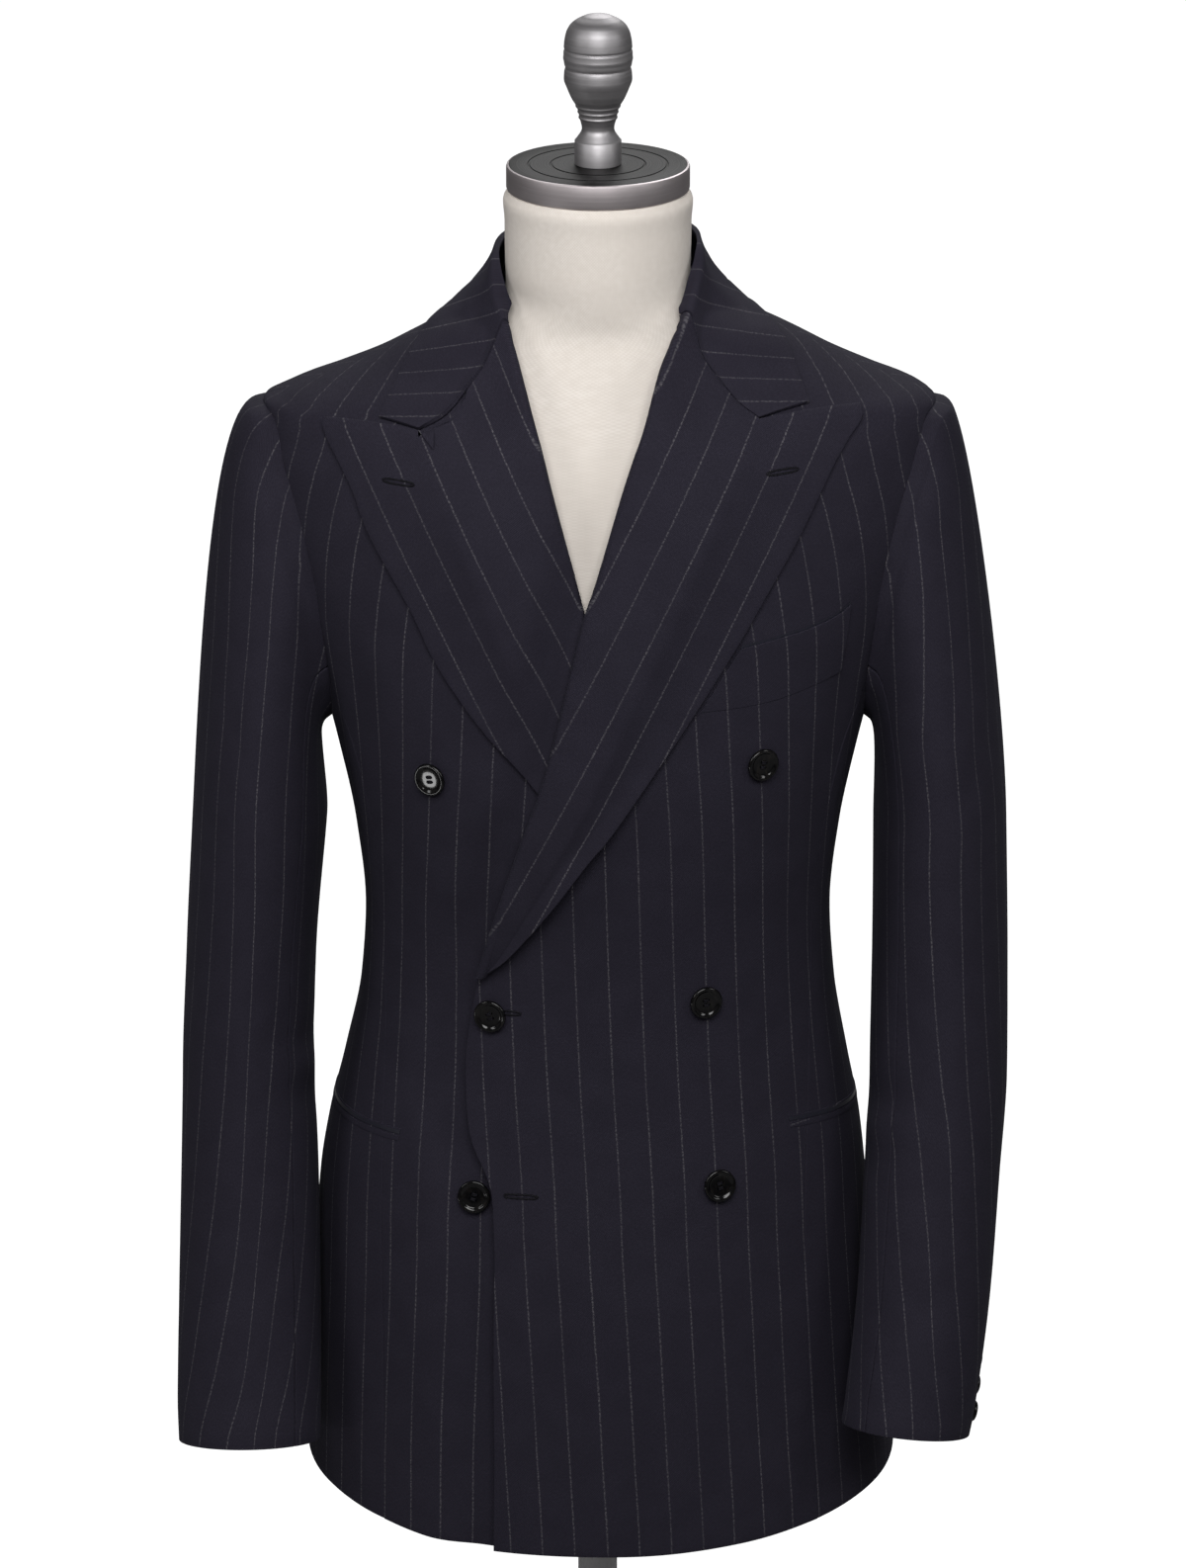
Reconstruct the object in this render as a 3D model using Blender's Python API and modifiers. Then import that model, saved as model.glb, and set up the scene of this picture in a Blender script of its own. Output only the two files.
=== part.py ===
"""Double-breasted peak-lapel jacket on a tailor's dress form, in metres, +Z up, front towards -Y.

The base of the form's stand rests on Z = 0. Left and right are the wearer's: left is +X.
One surface, body_point(angle, height), carries the whole jacket. Angle 0 is the centre front, +90 the
wearer's left side and 180 the centre back. Each panel is a patch of that surface between its seams.
"""

import math

import bmesh
import bpy
from mathutils import Vector
from mathutils.bvhtree import BVHTree

# ---- driving sizes -------------------------------------------------------------------------------
CLOTH = 0.002  # wall of one cloth piece
SEAM = 0.00026  # half of the gap at a seam, before the walls lean towards each other
SLEEVE_SEAM = 0.0009  # gap between the armhole and the sleeve
LAYER = 0.0012  # gap between a panel and the lapel that lies on it
COLLAR_RISE = 0.0007  # how much more there is under the collar, between its ends
TRIM_GAP = 0.0009  # gap between a panel and a pocket edge
CUFF_BUTTON_GAP = 0.0004
TRIM = 0.0012  # thickness of a pocket edge
NECK_HEIGHT = 1.018  # where the shoulder seam meets the collar
SHOULDER_HEIGHT = 0.9635  # where the shoulder seam meets the sleeve
BACK_NECK_HEIGHT = 1.022
BUTTON_RADIUS = 0.0102
BUTTON_THICKNESS = 0.0036
CUFF_BUTTON_RADIUS = 0.0066
CUFF_BUTTON_THICKNESS = 0.0030
CAP_TOP = 1.110
CAP_RADIUS = 0.055
CAP_THICKNESS = 0.015
POLE_RADIUS = 0.0125
BASE_RADIUS = 0.165
BASE_THICKNESS = 0.014
TORSO_BOTTOM = 0.330
STAND_GAP = 0.0003  # between the pieces of the stand

# Horizontal sections of the jacket body: height, centre_x, half_width, front_depth, back_depth, squareness
BODY = (
    (1.095, 0.000, 0.0570, 0.0570, 0.0570, 2.00),
    (1.048, 0.000, 0.0570, 0.0570, 0.0580, 2.00),
    (1.032, 0.002, 0.0600, 0.0580, 0.0610, 2.00),
    (1.020, 0.004, 0.0830, 0.0600, 0.0660, 2.00),
    (1.012, 0.005, 0.1030, 0.0630, 0.0710, 2.00),
    (1.003, 0.006, 0.1210, 0.0670, 0.0760, 2.00),
    (0.992, 0.006, 0.1425, 0.0730, 0.0820, 2.00),
    (0.980, 0.005, 0.1710, 0.0800, 0.0880, 2.05),
    (0.971, 0.004, 0.1935, 0.0860, 0.0930, 2.10),
    (0.964, 0.001, 0.2030, 0.0910, 0.0970, 2.10),
    (0.954, 0.001, 0.2045, 0.0960, 0.1010, 2.15),
    (0.935, 0.000, 0.2055, 0.1030, 0.1060, 2.15),
    (0.900, 0.000, 0.2010, 0.1110, 0.1110, 2.20),
    (0.850, 0.000, 0.1880, 0.1190, 0.1140, 2.20),
    (0.800, 0.000, 0.1720, 0.1240, 0.1130, 2.20),
    (0.751, 0.000, 0.1595, 0.1250, 0.1090, 2.20),
    (0.700, 0.000, 0.1495, 0.1210, 0.1000, 2.20),
    (0.644, 0.000, 0.1440, 0.1150, 0.0920, 2.20),
    (0.595, 0.000, 0.1470, 0.1130, 0.0920, 2.20),
    (0.542, -0.001, 0.1570, 0.1170, 0.1010, 2.20),
    (0.502, -0.002, 0.1658, 0.1230, 0.1120, 2.20),
    (0.462, -0.003, 0.1714, 0.1290, 0.1220, 2.20),
    (0.410, -0.002, 0.1755, 0.1360, 0.1320, 2.25),
    (0.340, 0.000, 0.1815, 0.1430, 0.1400, 2.25),
    (0.272, 0.002, 0.1870, 0.1490, 0.1460, 2.30),
    (0.240, 0.002, 0.1890, 0.1510, 0.1480, 2.30),
)

# The armhole, from the shoulder point down the front, under the arm and up the back: angle, height
ARMHOLE_FRONT = (
    (90, 0.9635), (73, 0.9600), (65, 0.9330), (61, 0.9040), (60.5, 0.8700), (64, 0.8350), (70, 0.8000),
)
ARMHOLE_UNDER = ((70, 0.8000), (78, 0.7770), (90, 0.7650), (102, 0.7770), (110, 0.8000))
ARMHOLE_BACK = (
    (110, 0.8000), (116, 0.8350), (119, 0.8700), (119, 0.9040), (115, 0.9330), (107, 0.9590), (90, 0.9635),
)

# The side panel's seams below the armhole: height, front_angle, back_angle
SIDE_SEAMS = (
    (0.800, 70, 110),
    (0.750, 64.5, 114),
    (0.644, 64, 117),
    (0.595, 61, 119),
    (0.502, 50, 124),
    (0.410, 46, 127),
    (0.272, 43.5, 129),
)

# The hem: angle, height
HEM = (
    (-180, 0.281), (-90, 0.279), (-65, 0.2755), (-44, 0.2690), (-25, 0.2645),
    (0, 0.2635), (25, 0.2685), (44, 0.2745), (65, 0.279), (90, 0.281), (180, 0.281),
)

# The line where each lapel and the collar fold over, from the side of the neck down: x, y, height
FOLD_LEFT = (
    (0.0605, -0.003, 1.063),
    (0.0610, -0.020, 1.051),
    (0.0540, -0.048, 1.031),
    (0.0390, -0.078, 1.005),
    (0.0290, -0.095, 0.973),
    (0.0190, -0.106, 0.945),
    (0.0010, -0.118, 0.885),
    (-0.0080, -0.122, 0.858),
    (-0.0190, -0.126, 0.811),
    (-0.0310, -0.127, 0.763),
    (-0.0455, -0.123, 0.720),
    (-0.0600, -0.116, 0.675),
    (-0.0730, -0.108, 0.630),
)
FOLD_RIGHT = (
    (-0.0620, -0.004, 1.053),
    (-0.0620, -0.022, 1.040),
    (-0.0560, -0.046, 1.025),
    (-0.0440, -0.080, 0.989),
    (-0.0360, -0.097, 0.964),
    (-0.0290, -0.107, 0.936),
    (-0.0170, -0.115, 0.891),
    (-0.0080, -0.119, 0.857),
    (0.0080, -0.120, 0.805),
    (0.0280, -0.119, 0.745),
    (0.0460, -0.113, 0.685),
    (0.0600, -0.106, 0.636),
)

# The collar round the neck: fold x, y, height and outer edge x, y, height
COLLAR = (
    (-0.0560, -0.046, 1.025, -0.130, -0.066, 0.9710),
    (-0.0620, -0.022, 1.040, -0.110, -0.024, 1.0030),
    (-0.0620, -0.002, 1.053, -0.099, 0.004, 1.0150),
    (-0.0520, 0.037, 1.060, -0.072, 0.053, 1.0110),
    (0.0000, 0.064, 1.064, 0.000, 0.077, 1.0060),
    (0.0520, 0.037, 1.064, 0.074, 0.053, 1.0140),
    (0.0605, -0.003, 1.061, 0.099, 0.003, 1.0180),
    (0.0610, -0.020, 1.050, 0.110, -0.026, 1.0020),
    (0.0540, -0.048, 1.031, 0.125, -0.060, 0.9770),
)

# The gorge seam from the fold to the notch, the collar's tip and the lapel's peak: x, y, height
GORGE_LEFT = (
    (0.0540, -0.048, 1.031), (0.060, -0.060, 1.009), (0.070, -0.066, 0.995),
    (0.082, -0.072, 0.982), (0.095, -0.076, 0.973),
)
GORGE_RIGHT = (
    (-0.0560, -0.046, 1.025), (-0.066, -0.058, 1.003), (-0.077, -0.066, 0.990),
    (-0.090, -0.075, 0.976), (-0.106, -0.078, 0.967),
)
PEAK_LEFT = (0.155, -0.050, 0.974)
PEAK_RIGHT = (-0.162, -0.054, 0.967)

# Each lapel's outer edge from the peak down to where it turns into the front edge: x, height
LAPEL_EDGE_LEFT = (
    (0.155, 0.974), (0.146, 0.956), (0.132, 0.932), (0.106, 0.884), (0.082, 0.843),
    (0.052, 0.796), (0.020, 0.748), (-0.021, 0.690), (-0.050, 0.649), (-0.0640, 0.634),
)
LAPEL_EDGE_RIGHT = (
    (-0.162, 0.967), (-0.148, 0.936), (-0.137, 0.909), (-0.112, 0.865), (-0.097, 0.834),
    (-0.080, 0.808), (-0.059, 0.781), (-0.020, 0.732), (0.020, 0.684), (0.048, 0.646),
)

# Each front's edge from the bottom of its lapel to the hem: x, height
FRONT_EDGE_LEFT = (
    (-0.073, 0.630), (-0.0800, 0.585), (-0.079, 0.545), (-0.073, 0.512), (-0.0640, 0.485), (-0.0650, 0.264),
)
FRONT_EDGE_RIGHT = ((0.060, 0.636), (0.068, 0.590), (0.070, 0.540), (0.068, 0.480), (0.065, 0.264))

# Sleeve rings from the biceps to the cuff: height, centre_x (away from the body), centre_y, half_width,
# half_depth, angle of the back seam
SLEEVE_RIGHT = (
    (0.700, 0.2085, -0.003, 0.0415, 0.0750, 244),
    (0.612, 0.2150, -0.009, 0.0402, 0.0680, 250),
    (0.538, 0.2175, -0.019, 0.0410, 0.0620, 257),
    (0.477, 0.2170, -0.033, 0.0428, 0.0570, 264),
    (0.403, 0.2172, -0.056, 0.0442, 0.0510, 274),
    (0.340, 0.2175, -0.080, 0.0448, 0.0460, 284),
    (0.317, 0.2170, -0.092, 0.0442, 0.0440, 287),
)
SLEEVE_LEFT = (
    (0.700, 0.2110, -0.003, 0.0410, 0.0750, 244),
    (0.614, 0.2120, -0.013, 0.0420, 0.0680, 255),
    (0.541, 0.2115, -0.030, 0.0427, 0.0620, 272),
    (0.483, 0.2075, -0.052, 0.0421, 0.0570, 290),
    (0.416, 0.2025, -0.080, 0.0412, 0.0510, 310),
    (0.350, 0.1935, -0.108, 0.0402, 0.0460, 328),
    (0.335, 0.1905, -0.116, 0.0397, 0.0440, 331),
)
FRONT_SEAM_ANGLE = 132  # of each sleeve, towards the inner arm
ARMHOLE_CENTRE = Vector((0.182, 0.000, 0.865))
SLEEVE_OUT = Vector((0.98, 0.0, -0.16))
CROWN = {"right": 0.30, "left": 0.14}  # how full each sleeve head is

# Buttons on the fronts: x, height, gap under the middle, what they lie on
FRONT_BUTTONS = (
    (-0.100, 0.757, 0.0004, "front_right"),
    (0.098, 0.767, 0.0004, "front_left"),
    (-0.065, 0.605, 0.0004, "front_left"),
    (0.065, 0.614, 0.0004, "front_left"),
    (-0.0755, 0.488, 0.0012, "front_right"),
    (0.074, 0.497, 0.0004, "front_left"),
)
CUFF_BUTTON_RISES = (0.0580, 0.0443, 0.0306, 0.0169)  # above the cuff
CUFF_BUTTON_TURN = 12  # degrees from the back seam

# The breast pocket's welt, upper and lower line: x, height
WELT_TOP = ((0.0850, 0.8415), (0.112, 0.846), (0.127, 0.849), (0.143, 0.854), (0.151, 0.859))
WELT_BOTTOM = ((0.0605, 0.8035), (0.094, 0.805), (0.110, 0.807), (0.129, 0.811), (0.146, 0.8155))
# The two lips of each waist pocket: name, lower height, upper height
POCKET_LIPS = (("upper", 0.5212, 0.5260), ("lower", 0.5160, 0.5208))
POCKET_ANGLES = (46, 97)

# How far the form lies inside the jacket's outer face: height, inset at the sides, more in front and behind
FORM_INSET = (
    (1.0950, 0.0000, 0.0000), (1.0500, 0.0004, 0.0000), (1.0320, 0.0014, 0.0020),
    (1.0150, 0.0028, 0.0065), (0.9720, 0.0029, 0.0065), (0.9640, 0.0040, 0.0060), (0.9400, 0.0055, 0.0040),
    (0.9000, 0.0100, 0.0000), (0.8500, 0.0115, 0.0000), (0.3000, 0.0115, 0.0000),
)
FORM_RINGS = (
    1.0945, 1.055, 1.036, 1.024, 1.014, 1.003, 0.992, 0.981, 0.972, 0.964, 0.955, 0.938,
    0.910, 0.870, 0.820, 0.760, 0.700, 0.640, 0.580, 0.520, 0.450, 0.390, TORSO_BOTTOM,
)
FORM_SIDES = 28

# Turned outlines: radius, height above the piece's own base
FINIAL = (
    (0.0000, 0.0910), (0.0080, 0.0900), (0.0135, 0.0872), (0.0170, 0.0840), (0.0192, 0.0795),
    (0.0202, 0.0740), (0.0206, 0.0670), (0.0203, 0.0620), (0.0198, 0.0590), (0.0202, 0.0560),
    (0.0204, 0.0520), (0.0187, 0.0468), (0.0160, 0.0405), (0.0125, 0.0343), (0.0110, 0.0280),
    (0.0097, 0.0218), (0.0130, 0.0156), (0.0140, 0.0145), (0.0140, 0.0003), (0.0000, 0.0003),
)
CAP = (
    (0.0, 0.0), (CAP_RADIUS - 0.0008, 0.0), (CAP_RADIUS, -0.0008), (CAP_RADIUS, 0.0008 - CAP_THICKNESS),
    (CAP_RADIUS - 0.0008, -CAP_THICKNESS), (0.0, -CAP_THICKNESS),
)
BUTTON = ((0.0, 0.80), (0.62, 0.78), (0.72, 1.0), (0.90, 0.96), (1.0, 0.62), (0.92, 0.1), (0.0, 0.0))


class Table:
    """Rows of numbers against their first column, read along a smooth curve that doesn't overshoot."""

    def __init__(self, rows):
        rows = sorted(rows)
        self.keys = [row[0] for row in rows]
        self.columns = list(zip(*rows))[1:]
        self.steps = [b - a for a, b in zip(self.keys, self.keys[1:])]
        self.slopes = [self.column_slopes(column) for column in self.columns]

    def column_slopes(self, column):
        rises = [(b - a) / step for a, b, step in zip(column, column[1:], self.steps)]
        inner = [2 * a * b / (a + b) if a * b > 0 else 0.0 for a, b in zip(rises, rises[1:])]
        return [rises[0], *inner, rises[-1]]

    def at(self, key):
        key = min(max(key, self.keys[0]), self.keys[-1])
        i = min(sum(k <= key for k in self.keys) - 1, len(self.steps) - 1)
        step = self.steps[i]
        t = (key - self.keys[i]) / step
        return [
            column[i] * (1 + 2 * t) * (1 - t) ** 2
            + column[i + 1] * t * t * (3 - 2 * t)
            + step * (slope[i] * t * (1 - t) ** 2 - slope[i + 1] * t * t * (1 - t))
            for column, slope in zip(self.columns, self.slopes)
        ]


BODY_SECTIONS = Table(BODY)
SEAM_ANGLES = Table(SIDE_SEAMS)
INSETS = Table(FORM_INSET)
HEM_HEIGHTS = Table(HEM)
LEFT_OPENING = Table([(h, x) for x, y, h in FOLD_LEFT] + [(h, x) for x, h in FRONT_EDGE_LEFT[1:]])


def smooth_step(t):
    t = min(max(t, 0.0), 1.0)
    return t * t * (3 - 2 * t)


# ---- the body surface ----------------------------------------------------------------------------
def on_body(angle, height):
    centre, half_width, front, back, power = BODY_SECTIONS.at(height)
    sine, cosine = math.sin(math.radians(angle)), math.cos(math.radians(angle))
    x = math.copysign(half_width * abs(sine) ** (2 / power), sine)
    y = -math.copysign((front if cosine > 0 else back) * abs(cosine) ** (2 / power), cosine)
    return Vector((centre + x, y, height))


def body_normal(angle, height):
    across = on_body(angle + 0.4, height) - on_body(angle - 0.4, height)
    upward = on_body(angle, height + 0.0005) - on_body(angle, height - 0.0005)
    return across.cross(upward).normalized()


def body_point(angle, height, out=0.0):
    return on_body(angle, height) + body_normal(angle, height) * out


def front_angle(x, height):
    """The angle at which the front of the body has this x."""
    centre, half_width, _, _, power = BODY_SECTIONS.at(height)
    share = min(abs(x - centre) / half_width, 1.0) ** (power / 2)
    return math.copysign(math.degrees(math.asin(share)), x - centre)


def fullness(point):
    """1 on the body's surface, more outside it."""
    centre, half_width, front, back, power = BODY_SECTIONS.at(point.z)
    depth = front if point.y < 0 else back
    return ((abs(point.x - centre) / half_width) ** power + (abs(point.y) / depth) ** power) ** (1 / power)


def distance_to_body(point):
    """How far the point lies outside the body, and the way out."""
    step = 0.0004
    slope = Vector([
        (fullness(point + axis * step) - fullness(point - axis * step)) / (2 * step)
        for axis in (Vector((1, 0, 0)), Vector((0, 1, 0)), Vector((0, 0, 1)))
    ])
    return (fullness(point) - 1) / slope.length, slope.normalized()


def placed(point, distance):
    """The point moved along the way out until it lies at this distance from the body."""
    for _ in range(5):
        now, way_out = distance_to_body(point)
        point = point + way_out * (distance - now)
    return point


def angle_and_height(point):
    """The foot of a point on the body, as an angle and a height."""
    foot = placed(point, 0.0)
    centre, half_width, front, back, power = BODY_SECTIONS.at(foot.z)
    depth = front if foot.y < 0 else back
    sine = math.copysign((abs(foot.x - centre) / half_width) ** (power / 2), foot.x - centre)
    cosine = math.copysign((abs(foot.y) / depth) ** (power / 2), -foot.y)
    return Vector((math.degrees(math.atan2(sine, cosine)), foot.z))


# ---- curves and patches --------------------------------------------------------------------------
def steps(count, short=0.3):
    """Shares from 0 to 1, the first and the last step short so that a wall's rim leans with its surface."""
    inner = [short + i for i in range(count - 1)]
    total = inner[-1] + short
    return [0.0] + [step / total for step in inner] + [1.0]


def through(points, shares, place=lambda p: p):
    """Points at these shares of the length of a smooth curve through the given points."""
    points = [Vector(p) for p in points]
    ends = [points[0] * 2 - points[1], *points, points[-1] * 2 - points[-2]]
    fine = []
    for a, b, c, d in zip(ends, ends[1:], ends[2:], ends[3:]):
        for i in range(12):
            t = i / 12
            fine.append(
                b + (c - a) * (t / 2) + (a * 2 - b * 5 + c * 4 - d) * (t * t / 2)
                + (b * 3 - a - c * 3 + d) * (t ** 3 / 2)
            )
    fine.append(points[-1])
    solid = [place(p) for p in fine]
    lengths = [0.0]
    for a, b in zip(solid, solid[1:]):
        lengths.append(lengths[-1] + (b - a).length)
    found = []
    i = 0
    for share in shares:
        wanted = share * lengths[-1]
        while i < len(fine) - 2 and lengths[i + 1] < wanted:
            i += 1
        found.append(fine[i].lerp(fine[i + 1], (wanted - lengths[i]) / (lengths[i + 1] - lengths[i])))
    return found


def coons(top, bottom, left, right, across):
    """Rows of points that fill four edges; across holds the shares of the columns."""
    rows = []
    for i, (start, end) in enumerate(zip(left, right)):
        v = i / (len(left) - 1)
        row = []
        for u, upper, lower in zip(across, top, bottom):
            corners = top[0].lerp(top[-1], u).lerp(bottom[0].lerp(bottom[-1], u), v)
            row.append(upper * (1 - v) + lower * v + start * (1 - u) + end * u - corners)
        rows.append(row)
    return rows


def on_surface(pair):
    return on_body(pair[0], pair[1])


# ---- objects and materials -----------------------------------------------------------------------
for old in list(bpy.data.objects):
    bpy.data.objects.remove(old)

collection = bpy.data.collections.new("suit_jacket_on_dress_form")
bpy.context.scene.collection.children.link(collection)


def material(name, colour, roughness, metallic=0.0):
    made = bpy.data.materials.new(name)
    made.use_nodes = True
    shader = made.node_tree.nodes["Principled BSDF"]
    shader.inputs["Base Color"].default_value = (*colour, 1.0)
    shader.inputs["Roughness"].default_value = roughness
    shader.inputs["Metallic"].default_value = metallic
    return made


WOOL = material("navy_pinstripe_wool", (0.016, 0.015, 0.022), 0.85)
HORN = material("black_horn", (0.010, 0.010, 0.012), 0.25)
CANVAS = material("cream_canvas", (0.70, 0.64, 0.58), 0.9)
METAL = material("brushed_metal", (0.42, 0.41, 0.42), 0.35, 1.0)
STEEL = material("painted_steel", (0.05, 0.05, 0.055), 0.4, 0.6)


def add(name, mesh, surface):
    mesh.materials.append(surface)
    made = bpy.data.objects.new(name, mesh)
    collection.objects.link(made)
    return made


def wall(name, rows, inside, thickness=CLOTH, grows_out=False, surface=WOOL):
    """A cloth piece: a grid through the rows, thickened away from or towards the point inside it."""
    shape = bmesh.new()
    bmesh.ops.create_grid(shape, x_segments=len(rows[0]) - 1, y_segments=len(rows) - 1, size=1.0)
    shape.verts.ensure_lookup_table()
    for vertex, point in zip(shape.verts, [p for row in rows for p in row]):
        vertex.co = point
    shape.normal_update()
    facing = sum(face.normal.dot(face.calc_center_median() - inside) for face in shape.faces)
    if facing < 0:
        bmesh.ops.reverse_faces(shape, faces=shape.faces)
    mesh = bpy.data.meshes.new(name)
    shape.to_mesh(mesh)
    shape.free()
    mesh.shade_smooth()
    made = add(name, mesh, surface)
    thicken = made.modifiers.new("Cloth", "SOLIDIFY")
    thicken.thickness = thickness
    thicken.offset = 1.0 if grows_out else -1.0
    thicken.use_even_offset = True
    return made


def turned(name, outline, surface, sides=24, scale=(1.0, 1.0)):
    """A turned piece about its own Z axis, from radius and height pairs that run top to bottom."""
    mesh = bpy.data.meshes.new(name)
    points = [(radius * scale[0], 0.0, height * scale[1]) for radius, height in outline]
    mesh.from_pydata(points, [(i, i + 1) for i in range(len(points) - 1)], [])
    made = add(name, mesh, surface)
    turn = made.modifiers.new("Turn", "SCREW")
    turn.steps = turn.render_steps = sides
    turn.use_merge_vertices = True
    turn.merge_threshold = 0.00001
    turn.use_smooth_shade = True
    return made


def loft(name, rings, surface):
    """A closed solid through rings of points, flat at both ends."""
    shape = bmesh.new()
    loops = [[shape.verts.new(point) for point in ring] for ring in rings]
    for upper, lower in zip(loops, loops[1:]):
        for i in range(len(upper)):
            j = (i + 1) % len(upper)
            shape.faces.new((upper[i], lower[i], lower[j], upper[j]))
    shape.faces.new(loops[0])
    shape.faces.new(loops[-1][::-1])
    bmesh.ops.recalc_face_normals(shape, faces=shape.faces)
    mesh = bpy.data.meshes.new(name)
    shape.to_mesh(mesh)
    shape.free()
    mesh.shade_smooth()
    return add(name, mesh, surface)


# ---- fronts, side panels and backs ---------------------------------------------------------------
CORE = Vector((0.0, 0.0, 0.65))
OVERLAP_SINK = 0.0068  # how far the right front and its lapel lie under the left front


def sink(point):
    """Share of the full overlap depth, growing towards the left front's edge."""
    edge = LEFT_OPENING.at(point.z)[0]
    return smooth_step((point.x - edge + 0.042) / 0.036)


def under_overlap(angle, height, out=0.0):
    """A point of the right front, which passes under the left one."""
    return body_point(angle, height, out - OVERLAP_SINK * sink(on_body(angle, height)))


def hem(angle):
    return HEM_HEIGHTS.at(angle)[0]


def mirrored(points, side):
    """Angles that are given for the left, turned round for the right."""
    return [(angle * side, height) for angle, height in points]


def seam_points(column):
    """A side seam from the armhole to the hem; column 0 is the front seam and 1 the back one."""
    heights = (0.800, 0.765, 0.730, 0.690, 0.644, 0.600, 0.550, 0.500, 0.440, 0.360)
    hem_angle = SIDE_SEAMS[-1][column + 1]
    hem_height = (hem(hem_angle) + hem(-hem_angle)) / 2
    return [(SEAM_ANGLES.at(h)[column], h) for h in heights] + [(hem_angle, hem_height)]


UPPER = steps(11, 0.12)
LOWER = steps(13, 0.5)


def joined(upper, lower):
    return upper + lower[1:]


def pulled(pairs, angle_gap, height_gap=0.0):
    """Edge points moved off a seam."""
    return [Vector((p[0] + angle_gap, p[1] + height_gap)) for p in pairs]


def degrees_of(length, height):
    """The angle that a length along a side seam covers."""
    return math.degrees(length / BODY_SECTIONS.at(height)[1])


def front(name, side, fold, edge, columns):
    """One front from its fold and front edge to the armhole and the side seam."""
    neck = [Vector((90 * side, NECK_HEIGHT))]
    feet = [angle_and_height(Vector(p)) for p in fold[2:]]
    start = through(neck + feet, UPPER, on_surface)
    end = through([(front_angle(x, h), h) for x, h in edge], LOWER, on_surface)
    inner = joined(start, end)
    gap = degrees_of(SEAM, 0.6) * side
    armhole = through(mirrored(ARMHOLE_FRONT, side), UPPER, on_surface)
    seam = through(mirrored(seam_points(0), side), LOWER, on_surface)
    outer = pulled(joined(armhole, seam), -gap)
    inner = pulled(inner[:1], -gap) + pulled(inner[1:], gap * 10)
    across = steps(columns)
    top = [inner[0].lerp(outer[0], u) for u in across]
    bottom = [Vector((angle, hem(angle))) for angle in [inner[-1].lerp(outer[-1], u)[0] for u in across]]
    rows = coons(top, bottom, inner, outer, across)
    place = on_body if side > 0 else under_overlap
    wall(name, [[place(*p) for p in row] for row in rows], CORE)


front("front_left", 1, FOLD_LEFT, FRONT_EDGE_LEFT, 13)
front("front_right", -1, FOLD_RIGHT, FRONT_EDGE_RIGHT, 13)

for side, word in ((1, "left"), (-1, "right")):
    gap = degrees_of(SEAM, 0.6) * side
    across = steps(6)

    # Side panel, hollowed at the top by the armhole
    near = pulled(through(mirrored(seam_points(0), side), LOWER, on_surface), gap)
    far = pulled(through(mirrored(seam_points(1), side), LOWER, on_surface), -gap)
    top = through(mirrored(ARMHOLE_UNDER, side), across, on_surface)
    top[0], top[-1] = near[0], far[0]
    bottom = [Vector((angle, hem(angle))) for angle in [near[-1].lerp(far[-1], u)[0] for u in across]]
    rows = coons(top, bottom, near, far, across)
    wall(f"side_panel_{word}", [[on_body(*p) for p in row] for row in rows], CORE)

    # Back, from the centre seam to the shoulder, armhole and side seams
    shoulder = through([(90, NECK_HEIGHT), (90, SHOULDER_HEIGHT)], steps(5, 0.4), on_surface)
    armhole = through(ARMHOLE_BACK[::-1], steps(9, 0.25), on_surface)
    seam = through(seam_points(1), LOWER, on_surface)
    outer = [Vector((p[0] * side, p[1])) for p in joined(joined(shoulder, armhole), seam)]
    outer = pulled(outer, gap)
    stretch = (BACK_NECK_HEIGHT - hem(180)) / (NECK_HEIGHT - hem(180))
    heights = [hem(180) + (p[1] - hem(180)) * stretch for p in outer]
    inner = [Vector((180 * side - gap * 1.5, h)) for h in heights]
    across = steps(9, 0.12)
    top = [inner[0].lerp(outer[0], u) for u in across]
    bottom = [inner[-1].lerp(outer[-1], u) for u in across]
    rows = coons(top, bottom, inner, outer, across)
    wall(f"back_{word}", [[on_body(*p) for p in row] for row in rows], CORE)

# ---- sleeves -------------------------------------------------------------------------------------
LOOP_SHARES = [i / 40 for i in range(41)]


def armhole_stretch(points, side):
    """A stretch of one side's armhole, turned round to the left."""
    stretch = [on_body(angle * side, height) for angle, height in through(points, LOOP_SHARES, on_surface)]
    return [Vector((p.x * side, p.y, p.z)) for p in stretch]


def armhole_loops(side):
    """One armhole from the shoulder down the front to under the arm, and from there up the back."""
    front, under, back = (armhole_stretch(points, side) for points in (ARMHOLE_FRONT, ARMHOLE_UNDER, ARMHOLE_BACK))
    return front + under[1:21], under[20:] + back[1:]


ARMHOLES = {side: armhole_loops(side) for side in (1, -1)}


def along(points, share):
    """The point at this share of the length of a line of points."""
    lengths = [0.0]
    for a, b in zip(points, points[1:]):
        lengths.append(lengths[-1] + (b - a).length)
    wanted = share * lengths[-1]
    i = min(sum(length <= wanted for length in lengths) - 1, len(points) - 2)
    return points[i].lerp(points[i + 1], (wanted - lengths[i]) / (lengths[i + 1] - lengths[i]))


def armhole_point(turn, side):
    """An armhole at a turn round the sleeve: 0 at the shoulder, 90 in front, 180 under the arm."""
    down, up = ARMHOLES[side]
    turn %= 360
    return along(down, turn / 180) if turn < 180 else along(up, (turn - 180) / 180)


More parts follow.
